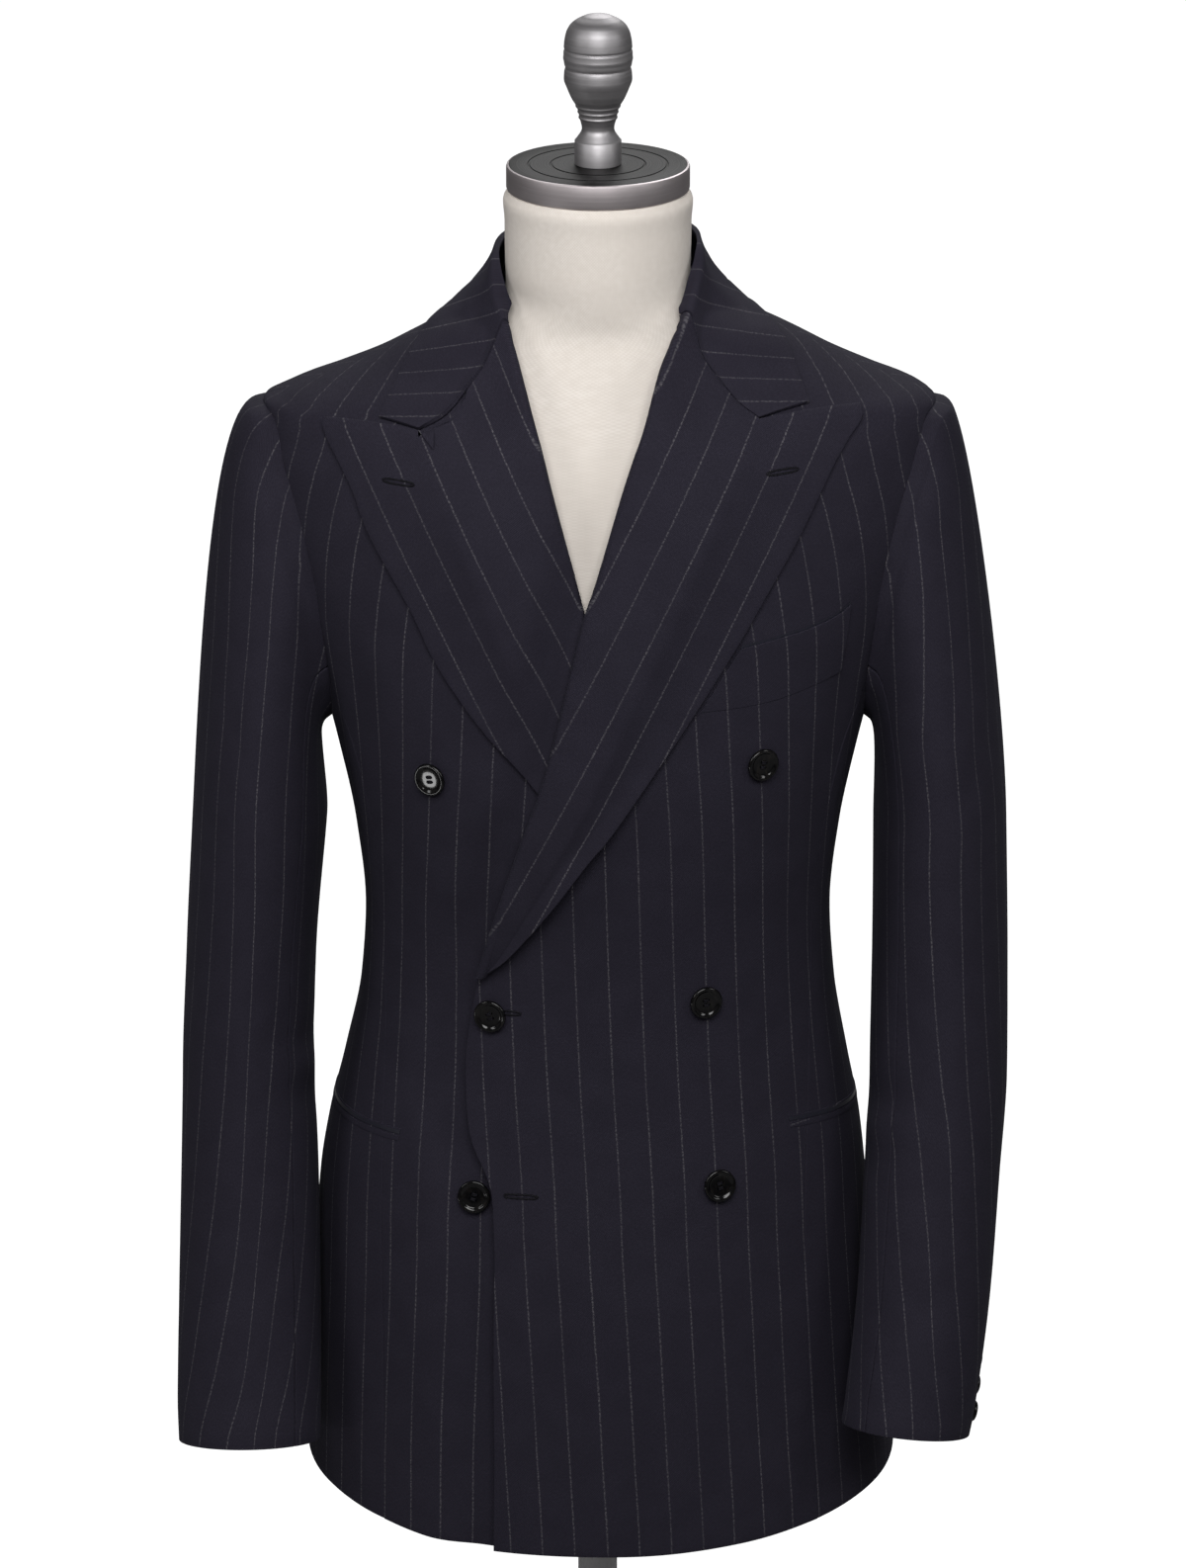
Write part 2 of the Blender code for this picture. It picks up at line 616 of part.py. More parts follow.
def sleeve(word, side, rings):
    table = Table(rings)
    top, end = rings[0][0], rings[-1][0]

    def centre(height):
        return Vector((*table.at(height)[:2], height))

    def ring_point(turn, height):
        downward = (centre(height - 0.01) - centre(height + 0.01)).normalized()
        sideways = (Vector((1, 0, 0)) - downward * downward.x).normalized()
        forward = downward.cross(sideways)
        half_width, half_depth = table.at(height)[2:4]
        angle = math.radians(turn)
        across, ahead = half_width * math.cos(angle), half_depth * math.sin(angle)
        return centre(height) + sideways * across + forward * ahead

    def way_out(turn):
        """The direction in which the sleeve leaves the armhole."""
        radial = armhole_point(turn, side) - ARMHOLE_CENTRE
        radial = (radial - SLEEVE_OUT * radial.dot(SLEEVE_OUT)).normalized()
        return (SLEEVE_OUT.normalized() + radial * 0.6 * abs(math.sin(math.radians(turn / 2)))).normalized()

    def lengthwise(turn_at):
        """One lengthwise line of the sleeve; turn_at gives its turn at a height."""
        turn = turn_at(top)
        leaves = way_out(turn)
        seam = armhole_point(turn, side) + leaves * SLEEVE_SEAM
        start = seam + leaves * (0.0035 + 0.0050 * math.cos(math.radians(turn / 2)) ** 4)
        arrive = ring_point(turn, top)
        reach = (arrive - start).length
        begin = leaves * reach * (CROWN[word] + 0.24 * math.sin(math.radians(turn / 2)) ** 2)
        finish = (ring_point(turn, top - 0.01) - arrive).normalized() * reach * 0.9
        line = [seam, start]
        for i in range(1, 9):
            t = i / 8
            line.append(
                start * (1 + 2 * t) * (1 - t) ** 2 + arrive * t * t * (3 - 2 * t)
                + begin * t * (1 - t) ** 2 - finish * t * t * (1 - t)
            )
        for share in steps(11, 1.0)[1:]:
            height = top + (end - top) * share
            line.append(ring_point(turn_at(height), height))
        return [Vector((p.x * side, p.y, p.z)) for p in line]

    def piece(name, columns, first, last):
        lines = []
        for share in steps(columns):
            lines.append(lengthwise(lambda h: first(h) + (last(h) - first(h)) * share))
        wall(name, [list(row) for row in zip(*lines)], Vector((0.212 * side, -0.02, 0.6)))

    gap = 0.36
    piece(f"top_sleeve_{word}", 15, lambda h: table.at(h)[4] - 360 + gap, lambda h: FRONT_SEAM_ANGLE - gap)
    piece(f"under_sleeve_{word}", 8, lambda h: FRONT_SEAM_ANGLE + gap, lambda h: table.at(h)[4] - gap)
    return ring_point


ring_right = sleeve("right", -1, SLEEVE_RIGHT)
ring_left = sleeve("left", 1, SLEEVE_LEFT)


# ---- lapels and collar ---------------------------------------------------------------------------
GORGE_GAP = Vector((0.0, -0.0003, -0.0004))


def foot_out(height):
    """How far the fold's inner edge lies outside the body; lower down it is beside the front's edge."""
    return -0.0014 + 0.0038 * smooth_step((height - 0.930) / 0.075)


def laid(point, share, sinks, reach, gap):
    """A point of a lapel or collar on the panels under it; share is 0 at the fold and 1 at the outer edge.

    The greater reach is, the nearer to its outer edge the leaf stands off the panels.
    """
    distance, _ = distance_to_body(point)
    under = sink(point) if sinks else 0.0
    lift = max(distance - gap, 0.0) * (1 - share ** reach) * (1 - under)
    return placed(point, gap + lift - OVERLAP_SINK * under)


def turned_over(leaf, stand_columns, sinks):
    """A row of the leaf with the cloth that turns under at its fold, down to the foot of the fold."""
    fold = leaf[0]
    foot = placed(fold, 0.0)
    under = sink(fold) if sinks else 0.0
    foot = placed(foot, foot_out(foot.z) - OVERLAP_SINK * under)
    before = fold + (foot - fold).normalized() * 0.0007
    after = fold + (leaf[1] - fold).normalized() * 0.0007
    stand = [foot.lerp(before, i / stand_columns) for i in range(stand_columns)]
    return [*stand, before, after, *leaf[1:]]


def lapel(name, fold, gorge, peak, edge, sinks):
    shares = steps(14, 0.3)
    folds = through(fold[2:], shares)
    edges = [on_body(*p) for p in through([(front_angle(x, h), h) for x, h in edge], shares, on_surface)]
    to_notch = through(gorge, [i / 6 for i in range(7)])
    to_peak = [Vector(gorge[-1]).lerp(Vector(peak), i / 4) for i in range(1, 5)]
    top = to_notch + to_peak
    across = [i / 10 for i in range(11)]
    folds[0], edges[0] = top[0], top[-1]
    bottom = [folds[-1].lerp(edges[-1], u) for u in across]
    rows = coons(top, bottom, folds, edges, across)
    rows = [[laid(p, u, sinks, 3, LAYER) for p, u in zip(row, across)] for row in rows]
    rows = [turned_over(row, 1, sinks) for row in rows]
    rows[0] = [p + GORGE_GAP for p in rows[0]]
    wall(name, rows, CORE, grows_out=True)


lapel("lapel_left", FOLD_LEFT, GORGE_LEFT, PEAK_LEFT, LAPEL_EDGE_LEFT, False)
lapel("lapel_right", FOLD_RIGHT, GORGE_RIGHT, PEAK_RIGHT, LAPEL_EDGE_RIGHT, True)


def end_bows(gorge, tip):
    """How far one end of the collar, along the gorge seam and on to its tip, bows off a straight line."""
    to_notch = through(gorge, [i / 6 for i in range(7)])
    line = to_notch + [Vector(gorge[-1]).lerp(tip, 0.5), Vector(tip)]
    return [p - line[0].lerp(line[-1], i / 8) for i, p in enumerate(line)]


COLLAR_HOLLOW = 0.0045  # the dip between its fold and its edge
shares = steps(27, 0.3)
folds = through([row[:3] for row in COLLAR], shares)
edges = through([row[3:] for row in COLLAR], shares)
first = end_bows(GORGE_RIGHT, edges[0])
last = end_bows(GORGE_LEFT, edges[-1])
rows = []
for i, (fold, edge) in enumerate(zip(folds, edges)):
    near = smooth_step(1 - 3.6 * i / 27)
    far = smooth_step(1 - 3.6 * (27 - i) / 27)
    row = []
    for k in range(9):
        point = fold.lerp(edge, k / 8) + first[k] * near + last[k] * far
        dip = COLLAR_HOLLOW * math.sin(math.pi * k / 8) * (1.5 - k / 6) * (1 - near - far)
        point -= distance_to_body(point)[1] * dip
        row.append(laid(point, k / 8, False, 12, LAYER + COLLAR_RISE * (1 - near - far)))
    rows.append(turned_over(row, 3, False))
rows[0] = [p - GORGE_GAP for p in rows[0]]
rows[-1] = [p - GORGE_GAP for p in rows[-1]]
wall("collar", rows, Vector((0.0, 0.0, 1.0)), grows_out=True)


# ---- pockets -------------------------------------------------------------------------------------
def trim(name, corners_to_angles):
    """A thin strip on a panel, from rows of angle and height."""
    rows = [[body_point(p[0], p[1], TRIM_GAP + TRIM) for p in row] for row in corners_to_angles]
    wall(name, rows, CORE, thickness=TRIM)


across = [i / 6 for i in range(7)]
top = through([(front_angle(x, h), h) for x, h in WELT_TOP], across, on_surface)
bottom = through([(front_angle(x, h), h) for x, h in WELT_BOTTOM], across, on_surface)
trim("breast_welt", [[a.lerp(b, v / 3) for a, b in zip(top, bottom)] for v in range(4)])

for side, word in ((1, "left"), (-1, "right")):
    for lip, low, high in POCKET_LIPS:
        first, last = POCKET_ANGLES
        angles = [(first + (last - first) * i / 10) * side for i in range(11)]
        trim(f"pocket_{lip}_lip_{word}", [[Vector((angle, h)) for angle in angles] for h in (high, low)])


# ---- buttons -------------------------------------------------------------------------------------
def button(name, panel, near, gap, radius, thickness, sides):
    """A button on the outer face of a panel, at the point of it nearest to the given one."""
    mesh = bpy.data.objects[panel].data
    tree = BVHTree.FromPolygons([v.co for v in mesh.vertices], [p.vertices for p in mesh.polygons])
    seat, way_out, _, _ = tree.find_nearest(near)
    made = turned(name, BUTTON, HORN, sides, (radius, thickness))
    made.location = seat + way_out * gap
    made.rotation_euler = way_out.to_track_quat("Z", "Y").to_euler()


for number, (x, height, gap, panel) in enumerate(FRONT_BUTTONS, 1):
    place = body_point if panel == "front_left" else under_overlap
    near = place(front_angle(x, height), height)
    button(f"front_button_{number}", panel, near, gap, BUTTON_RADIUS, BUTTON_THICKNESS, 16)

CUFFS = (("left", 1, ring_left, SLEEVE_LEFT), ("right", -1, ring_right, SLEEVE_RIGHT))
for word, side, ring_point, rings in CUFFS:
    seams = Table(rings)
    for number, rise in enumerate(CUFF_BUTTON_RISES, 1):
        height = rings[-1][0] + rise
        near = ring_point(seams.at(height)[4] - 360 + CUFF_BUTTON_TURN, height)
        near.x *= side
        sizes = (CUFF_BUTTON_GAP, CUFF_BUTTON_RADIUS, CUFF_BUTTON_THICKNESS)
        button(f"cuff_button_{word}_{number}", f"top_sleeve_{word}", near, *sizes, 10)


# ---- dress form and its stand --------------------------------------------------------------------
def form_ring(height):
    inset, more = INSETS.at(height)
    ring = []
    for i in range(FORM_SIDES):
        angle = 360 * i / FORM_SIDES
        away_from_side = 1 - math.sin(math.radians(angle)) ** 16
        ring.append(body_point(angle, height, -inset - more * away_from_side))
    return ring


rings = [form_ring(height) for height in FORM_RINGS]
for point in rings[-1]:
    point.z = TORSO_BOTTOM
loft("form_torso", rings, CANVAS)

turned("form_neck_cap", CAP, METAL, 28).location.z = CAP_TOP
turned("form_finial", FINIAL, METAL, 16).location.z = CAP_TOP

POLE_LENGTH = TORSO_BOTTOM - BASE_THICKNESS - 2 * STAND_GAP
bpy.ops.mesh.primitive_cylinder_add(vertices=20, radius=POLE_RADIUS, depth=POLE_LENGTH)
pole = bpy.context.object
pole.name = "stand_pole"
pole.location.z = BASE_THICKNESS + STAND_GAP + POLE_LENGTH / 2
bpy.ops.mesh.primitive_cylinder_add(vertices=36, radius=BASE_RADIUS, depth=BASE_THICKNESS)
base = bpy.context.object
base.name = "stand_base"
base.location.z = BASE_THICKNESS / 2
rounding = base.modifiers.new("Rounded edge", "BEVEL")
rounding.width = 0.004
rounding.segments = 2
for made in (pole, base):
    made.data.materials.append(STEEL)
    for holder in made.users_collection:
        holder.objects.unlink(made)
    collection.objects.link(made)
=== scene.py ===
"""A double-breasted pinstripe jacket on a tailor's dress form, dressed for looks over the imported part.

Metres, +Z up, front towards -Y, +X the wearer's left. The sections follow the object as it is put together:
the stand, the form, then the jacket from its fronts to its buttons.
"""

import math

import bmesh
import bpy
from mathutils import Matrix, Vector
from mathutils.bvhtree import BVHTree


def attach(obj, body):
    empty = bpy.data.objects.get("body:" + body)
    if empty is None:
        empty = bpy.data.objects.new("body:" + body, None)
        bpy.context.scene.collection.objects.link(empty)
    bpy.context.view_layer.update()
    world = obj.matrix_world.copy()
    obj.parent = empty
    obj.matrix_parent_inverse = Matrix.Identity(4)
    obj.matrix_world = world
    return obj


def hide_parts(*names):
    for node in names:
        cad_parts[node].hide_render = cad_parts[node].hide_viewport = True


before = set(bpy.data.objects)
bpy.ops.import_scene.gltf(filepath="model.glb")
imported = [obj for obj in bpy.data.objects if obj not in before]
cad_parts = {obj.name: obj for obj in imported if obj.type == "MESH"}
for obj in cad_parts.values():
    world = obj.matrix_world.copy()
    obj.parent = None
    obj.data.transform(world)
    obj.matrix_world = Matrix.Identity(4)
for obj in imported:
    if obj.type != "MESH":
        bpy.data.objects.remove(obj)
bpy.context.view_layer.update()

# ---- studio: sweep, soft light and camera ---------------------------------------------------------
# A white paper sweep under the stand, one large soft box in front, a strip on each side, one box behind and a
# white surround. The camera stands four metres off and looks down at the form from above its neck.
PAPER_HALF = 30.0  # from the middle of the paper to its edge
WHITE = (1.0, 1.0, 1.0, 1.0)
LOOKS_DOWN = 19.46  # the camera's slant, in degrees
scene = bpy.context.scene


def node(tree, kind, sockets=(), **settings):
    """A shader node with its settings made; a socket is given a value or another node's output."""
    made = tree.nodes.new("ShaderNode" + kind)
    for name, value in settings.items():
        setattr(made, name, value)
    for slot, value in dict(sockets).items():
        if isinstance(value, bpy.types.NodeSocket):
            tree.links.new(value, made.inputs[slot])
        else:
            made.inputs[slot].default_value = value
    return made


def finish(name, roughness, metallic=0.0, **plain):
    """A material: itself, its node tree and its Principled shader."""
    made = bpy.data.materials.new(name)
    made.use_nodes = True
    shader = made.node_tree.nodes["Principled BSDF"]
    for label, value in {"Roughness": roughness, "Metallic": metallic, **plain}.items():
        shader.inputs[label.replace("_", " ")].default_value = value
    return made, made.node_tree, shader


def object_of(name, shape, *materials):
    """A bmesh made an object of the scene."""
    mesh = bpy.data.meshes.new(name)
    shape.to_mesh(mesh)
    shape.free()
    for material in materials:
        mesh.materials.append(material)
    made = bpy.data.objects.new(name, mesh)
    scene.collection.objects.link(made)
    return made


white_paper, tree, shader = finish(
    "white_paper", 0.9, Base_Color=(0.25, 0.25, 0.25, 1.0), Emission_Color=WHITE
)
tree.links.new(node(tree, "LightPath").outputs["Is Camera Ray"], shader.inputs["Emission Strength"])
paper = bmesh.new()
bmesh.ops.create_grid(paper, x_segments=4, y_segments=4, size=PAPER_HALF)
object_of("paper_sweep", paper, white_paper)

scene.view_settings.view_transform = "Standard"
scene.world = bpy.data.worlds.new("white_surround")
scene.world.use_nodes = True
surround = scene.world.node_tree.nodes["Background"].inputs
surround["Color"].default_value = WHITE
surround["Strength"].default_value = 0.12


def soft_box(name, place, aim, size, watts):
    lamp = bpy.data.lights.new(name, "AREA")
    lamp.shape = "RECTANGLE"
    lamp.size, lamp.size_y = size
    lamp.energy = watts
    made = bpy.data.objects.new(name, lamp)
    made.location = place
    made.rotation_euler = (Vector(aim) - Vector(place)).to_track_quat("-Z", "Y").to_euler()
    scene.collection.objects.link(made)


soft_box("front_soft_box", (0.0, -1.5, 2.08), (0.0, 0.0, 1.00), (1.4, 0.9), 33.0)
soft_box("left_strip", (2.3, -1.3, 2.25), (0.0, 0.0, 1.15), (0.7, 1.3), 14.0)
soft_box("right_strip", (-2.3, -1.3, 2.25), (0.0, 0.0, 1.15), (0.7, 1.3), 15.0)
soft_box("back_soft_box", (0.3, 2.0, 2.7), (0.0, 0.0, 0.70), (1.5, 1.2), 34.0)

camera = bpy.data.objects.new("camera", bpy.data.cameras.new("camera"))
camera.data.sensor_width = 36.0
camera.data.lens = 154.56
camera.data.clip_end = 60.0
camera.location = (-0.003, -3.914, 2.1)
camera.rotation_euler = (math.radians(90 - LOOKS_DOWN), 0.0, 0.0)
scene.collection.objects.link(camera)
scene.camera = camera

# ---- stand base and pole --------------------------------------------------------------------------
# A heavy cast disc with a rounded rim, and a steel tube from it up into the form. Both are powder coated in
# grey, with the fine orange-peel of the coat and cloudy patches in its colour and gloss.
BASE_RADIUS, BASE_THICKNESS, BASE_TURN = 0.165, 0.014, 0.005
POLE_RADIUS, POLE_BOTTOM, POLE_TOP, POLE_TURN = 0.0125, 0.0143, 0.3297, 0.0006
SAME_PLACE = 0.00002  # points closer than this are one


def reckon(tree, operation, *values):
    """A reckoned value; a value that is itself an operation with its values is reckoned first."""
    values = [reckon(tree, *value) if isinstance(value, tuple) else value for value in values]
    return node(tree, "Math", dict(enumerate(values)), operation=operation).outputs[0]


def blended(tree, share, *colours):
    """A colour between two others, each given as red, green and blue or by another node."""
    first, second = [(*colour, 1.0) if isinstance(colour, tuple) else colour for colour in colours]
    return node(tree, "Mix", {0: share, 6: first, 7: second}, data_type="RGBA").outputs[2]


def ranged(tree, value, low, high, new_low=0.0, new_high=1.0):
    settings = {0: value, 1: low, 2: high, 3: new_low, 4: new_high}
    return node(tree, "MapRange", settings, interpolation_type="SMOOTHSTEP").outputs[0]


def noise(tree, place, scale, detail, **more):
    return node(tree, "TexNoise", {"Vector": place, "Scale": scale, "Detail": detail, **more}).outputs[0]


def object_place(tree):
    return node(tree, "TexCoord").outputs["Object"]


def cut_place(tree):
    return node(tree, "UVMap", uv_map="cut").outputs[0]


def dress(tree, shader, colour, roughness=None, relief=None):
    """Links a shader's colour and, where given, its roughness and its relief: height, strength and depth."""
    tree.links.new(colour, shader.inputs["Base Color"])
    if roughness is not None:
        tree.links.new(roughness, shader.inputs["Roughness"])
    if relief is not None:
        height, strength, depth = relief
        bump = node(tree, "Bump", {"Strength": strength, "Distance": depth, "Height": height})
        tree.links.new(bump.outputs[0], shader.inputs["Normal"])


def shader_group(name, takes, gives):
    """A node group with named sockets: its tree, its inputs and a place to link each output to."""
    tree = bpy.data.node_groups.new(name, "ShaderNodeTree")
    for label, kind, value in takes:
        made = tree.interface.new_socket(name=label, in_out="INPUT", socket_type="NodeSocket" + kind)
        if value is not None:
            made.default_value = value
    for label in gives:
        tree.interface.new_socket(name=label, in_out="OUTPUT", socket_type="NodeSocketFloat")
    return tree, tree.nodes.new("NodeGroupInput").outputs, tree.nodes.new("NodeGroupOutput").inputs


def placed_group(tree, group, **sockets):
    named = {label.replace("_", " "): value for label, value in sockets.items()}
    made = tree.nodes.new("ShaderNodeGroup")
    made.node_tree = group
    for label, value in named.items():
        if isinstance(value, bpy.types.NodeSocket):
            tree.links.new(value, made.inputs[label])
        else:
            made.inputs[label].default_value = value
    return made.outputs


# Mottling: soft uneven patches, used for colour and gloss on every finish
MOTTLE, takes, gives = shader_group(
    "mottling",
    [("Place", "Vector", None), ("Patches per metre", "Float", 60.0), ("Detail", "Float", 3.0)],
    ["Patch"],
)
uneven = noise(MOTTLE, takes["Place"], takes["Patches per metre"], takes["Detail"])
MOTTLE.links.new(ranged(MOTTLE, uneven, 0.32, 0.68), gives["Patch"])


def mottled(tree, place, per_metre, detail=3.0):
    return placed_group(tree, MOTTLE, Place=place, Patches_per_metre=per_metre, Detail=detail)["Patch"]


coat, tree, shader = finish("grey_powder_coat", 0.42, Specular_IOR_Level=0.5)
place = object_place(tree)
peel, cloud = mottled(tree, place, 900.0, 2.0), mottled(tree, place, 14.0)
dress(
    tree, shader, blended(tree, cloud, (0.4, 0.395, 0.4), (0.46, 0.455, 0.46)),
    ranged(tree, cloud, 0.0, 1.0, 0.36, 0.48), (peel, 0.25, 0.0002),
)


def linked(name, shape, slot, node_name, *materials):
    """A smooth piece that rides with the whole part, with the CAD node it stands for, if there is one."""
    made = object_of(name, shape, *materials)
    made.data.shade_smooth()
    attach(made, "root")
    if node_name:
        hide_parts(node_name)
    return made


def spun(outline, sides=72, base=0.0):
    """A bmesh turned about Z from radius and height pairs that run from top to bottom."""
    shape = bmesh.new()
    points = [shape.verts.new((radius, 0.0, base + height)) for radius, height in outline]
    edges = [shape.edges.new(pair) for pair in zip(points, points[1:])]
    bmesh.ops.spin(
        shape, geom=points + edges, cent=(0, 0, 0), axis=(0, 0, 1), angle=2 * math.pi, steps=sides,
        use_merge=True,
    )
    bmesh.ops.remove_doubles(shape, verts=shape.verts, dist=SAME_PLACE)
    bmesh.ops.recalc_face_normals(shape, faces=shape.faces)
    return shape


def rounded(radius, low, high, turn, corner=5):
    """The outline of a disc with rounded edges, from the middle of its top to the middle of its bottom."""
    quarter = [math.pi / 2 * i / corner for i in range(corner + 1)]
    outline = [(0.0, high), (radius * 0.5, high)]
    outline += [(radius - turn + turn * math.sin(a), high - turn + turn * math.cos(a)) for a in quarter]
    outline += [(radius - turn + turn * math.cos(a), low + turn - turn * math.sin(a)) for a in quarter]
    return outline + [(radius * 0.5, low), (0.0, low)]


disc = spun(rounded(BASE_RADIUS, 0.0, BASE_THICKNESS, BASE_TURN), 96)
linked("cast_base", disc, "stand_steel", "stand_base", coat)
tube = spun(rounded(POLE_RADIUS, POLE_BOTTOM, POLE_TOP, POLE_TURN, 2), 48)
linked("steel_pole", tube, "stand_steel", "stand_pole", coat)

# ---- form torso and neck --------------------------------------------------------------------------
# A papier-mache body without arms, covered tightly in cream cotton canvas. It lies inside the jacket, and its
# neck stands out of the collar, with a soft rolled lip under the cap.

# Horizontal sections of the jacket body: height, centre_x, half_width, front_depth, back_depth, squareness
BODY = (
    (1.095, 0.0, 0.057, 0.057, 0.057, 2.0),
    (1.048, 0.0, 0.057, 0.057, 0.058, 2.0),
    (1.032, 0.002, 0.06, 0.058, 0.061, 2.0),
    (1.02, 0.004, 0.083, 0.06, 0.066, 2.0),
    (1.012, 0.005, 0.103, 0.063, 0.071, 2.0),
    (1.003, 0.006, 0.121, 0.067, 0.076, 2.0),
    (0.992, 0.006, 0.1425, 0.073, 0.082, 2.0),
    (0.98, 0.005, 0.171, 0.08, 0.088, 2.05),
    (0.971, 0.004, 0.1935, 0.086, 0.093, 2.1),
    (0.964, 0.001, 0.203, 0.091, 0.097, 2.1),
    (0.954, 0.001, 0.2045, 0.096, 0.101, 2.15),
    (0.935, 0.0, 0.2055, 0.103, 0.106, 2.15),
    (0.9, 0.0, 0.201, 0.111, 0.111, 2.2),
    (0.85, 0.0, 0.188, 0.119, 0.114, 2.2),
    (0.8, 0.0, 0.172, 0.124, 0.113, 2.2),
    (0.751, 0.0, 0.1595, 0.125, 0.109, 2.2),
    (0.7, 0.0, 0.1495, 0.121, 0.1, 2.2),
    (0.644, 0.0, 0.144, 0.115, 0.092, 2.2),
    (0.595, 0.0, 0.147, 0.113, 0.092, 2.2),
    (0.542, -0.001, 0.157, 0.117, 0.101, 2.2),
    (0.502, -0.002, 0.1658, 0.123, 0.112, 2.2),
    (0.462, -0.003, 0.1714, 0.129, 0.122, 2.2),
    (0.41, -0.002, 0.1755, 0.136, 0.132, 2.25),
    (0.34, 0.0, 0.1815, 0.143, 0.14, 2.25),
    (0.272, 0.002, 0.187, 0.149, 0.146, 2.3),
    (0.24, 0.002, 0.189, 0.151, 0.148, 2.3),
)

# How far the form lies inside the jacket's outer face: height, inset at the sides, more in front and behind
FORM_INSET = (
    (1.095, 0.0, 0.0), (1.05, 0.0004, 0.0), (1.032, 0.0014, 0.002),
    (1.015, 0.0028, 0.0065), (0.972, 0.0029, 0.0065), (0.964, 0.004, 0.006), (0.94, 0.0055, 0.004),
    (0.9, 0.01, 0.0), (0.85, 0.0115, 0.0), (0.3, 0.0115, 0.0),
)
TORSO_BOTTOM, TORSO_TOP = 0.33, 1.0946


class Table:
    """Rows of numbers against their first column, read along a smooth curve that doesn't overshoot."""

    def __init__(self, rows):
        rows = sorted(rows)
        self.keys = [row[0] for row in rows]
        self.columns = list(zip(*rows))[1:]
        self.steps = [b - a for a, b in zip(self.keys, self.keys[1:])]
        self.slopes = [self.column_slopes(column) for column in self.columns]

    def column_slopes(self, column):
        rises = [(b - a) / step for a, b, step in zip(column, column[1:], self.steps)]
        inner = [2 * a * b / (a + b) if a * b > 0 else 0.0 for a, b in zip(rises, rises[1:])]
        return [rises[0], *inner, rises[-1]]

    def at(self, key):
        key = min(max(key, self.keys[0]), self.keys[-1])
        i = min(sum(k <= key for k in self.keys) - 1, len(self.steps) - 1)
        step = self.steps[i]
        t = (key - self.keys[i]) / step
        return [
            column[i] * (1 + 2 * t) * (1 - t) ** 2
            + column[i + 1] * t * t * (3 - 2 * t)
            + step * (slope[i] * t * (1 - t) ** 2 - slope[i + 1] * t * t * (1 - t))
            for column, slope in zip(self.columns, self.slopes)
        ]


BODY_SECTIONS = Table(BODY)
INSETS = Table(FORM_INSET)


def smooth_step(t):
    t = min(max(t, 0.0), 1.0)
    return t * t * (3 - 2 * t)


def on_body(angle, height):
    centre, half_width, front, back, power = BODY_SECTIONS.at(height)
    sine, cosine = math.sin(math.radians(angle)), math.cos(math.radians(angle))
    x = math.copysign(half_width * abs(sine) ** (2 / power), sine)
    y = -math.copysign((front if cosine > 0 else back) * abs(cosine) ** (2 / power), cosine)
    return Vector((centre + x, y, height))


def body_normal(angle, height):
    across = on_body(angle + 0.4, height) - on_body(angle - 0.4, height)
    upward = on_body(angle, height + 0.0005) - on_body(angle, height - 0.0005)
    return across.cross(upward).normalized()


def body_point(angle, height, out=0.0):
    return on_body(angle, height) + body_normal(angle, height) * out


def torso_point(angle, height):
    inset, more = INSETS.at(height)
    away_from_side = 1 - math.sin(math.radians(angle)) ** 16
    return body_point(angle, height, -inset - more * away_from_side)


def grid(rows, cuts):
    """A bmesh grid through rows of points, with the place of each point on its cut."""
    shape = bmesh.new()
    bmesh.ops.create_grid(shape, x_segments=len(rows[0]) - 1, y_segments=len(rows) - 1, size=1.0)
    shape.verts.ensure_lookup_table()
    for vertex, point in zip(shape.verts, (point for row in rows for point in row)):
        vertex.co = point
    places = [place for row in cuts for place in row]
    layer = shape.loops.layers.uv.new("cut")
    for face in shape.faces:
        for loop in face.loops:
            loop[layer].uv = places[loop.vert.index]
    return shape


# Plain weave: over and under threads across a piece's own cut, as height and as shade
WEAVE, takes, gives = shader_group(
    "plain_weave", [("Cut", "Vector", None), ("Thread", "Float", 0.0008)], ["Height", "Shade"]
)
slub = noise(WEAVE, takes["Cut"], 260.0, 2.0)
over = reckon(WEAVE, "MULTIPLY", *(
    ("SINE", ("MULTIPLY", ("DIVIDE", part, takes["Thread"]), math.pi))
    for part in node(WEAVE, "SeparateXYZ", {0: takes["Cut"]}).outputs[:2]
))
WEAVE.links.new(reckon(WEAVE, "ADD", ("ABSOLUTE", over), slub), gives["Height"])
WEAVE.links.new(reckon(WEAVE, "ADD", ("MULTIPLY", over, 0.3), slub), gives["Shade"])

canvas, tree, shader = finish("cream_canvas", 0.88, Specular_IOR_Level=0.25, Sheen_Weight=0.08)
weave = placed_group(tree, WEAVE, Cut=cut_place(tree), Thread=0.0009)
cotton = blended(tree, mottled(tree, object_place(tree), 18.0), (0.69, 0.635, 0.58), (0.73, 0.68, 0.63))
threads = blended(tree, ranged(tree, weave["Shade"], 0.2, 0.9), (0.655, 0.60, 0.545), cotton)
dress(tree, shader, threads, None, (weave["Height"], 0.16, 0.00015))

AROUND, UPWARD = 112, 110  # faces of the torso round it and up it
CANVAS_WIDTH = 0.36
CANVAS_IN = 0.0008  # from the section to the face of the canvas
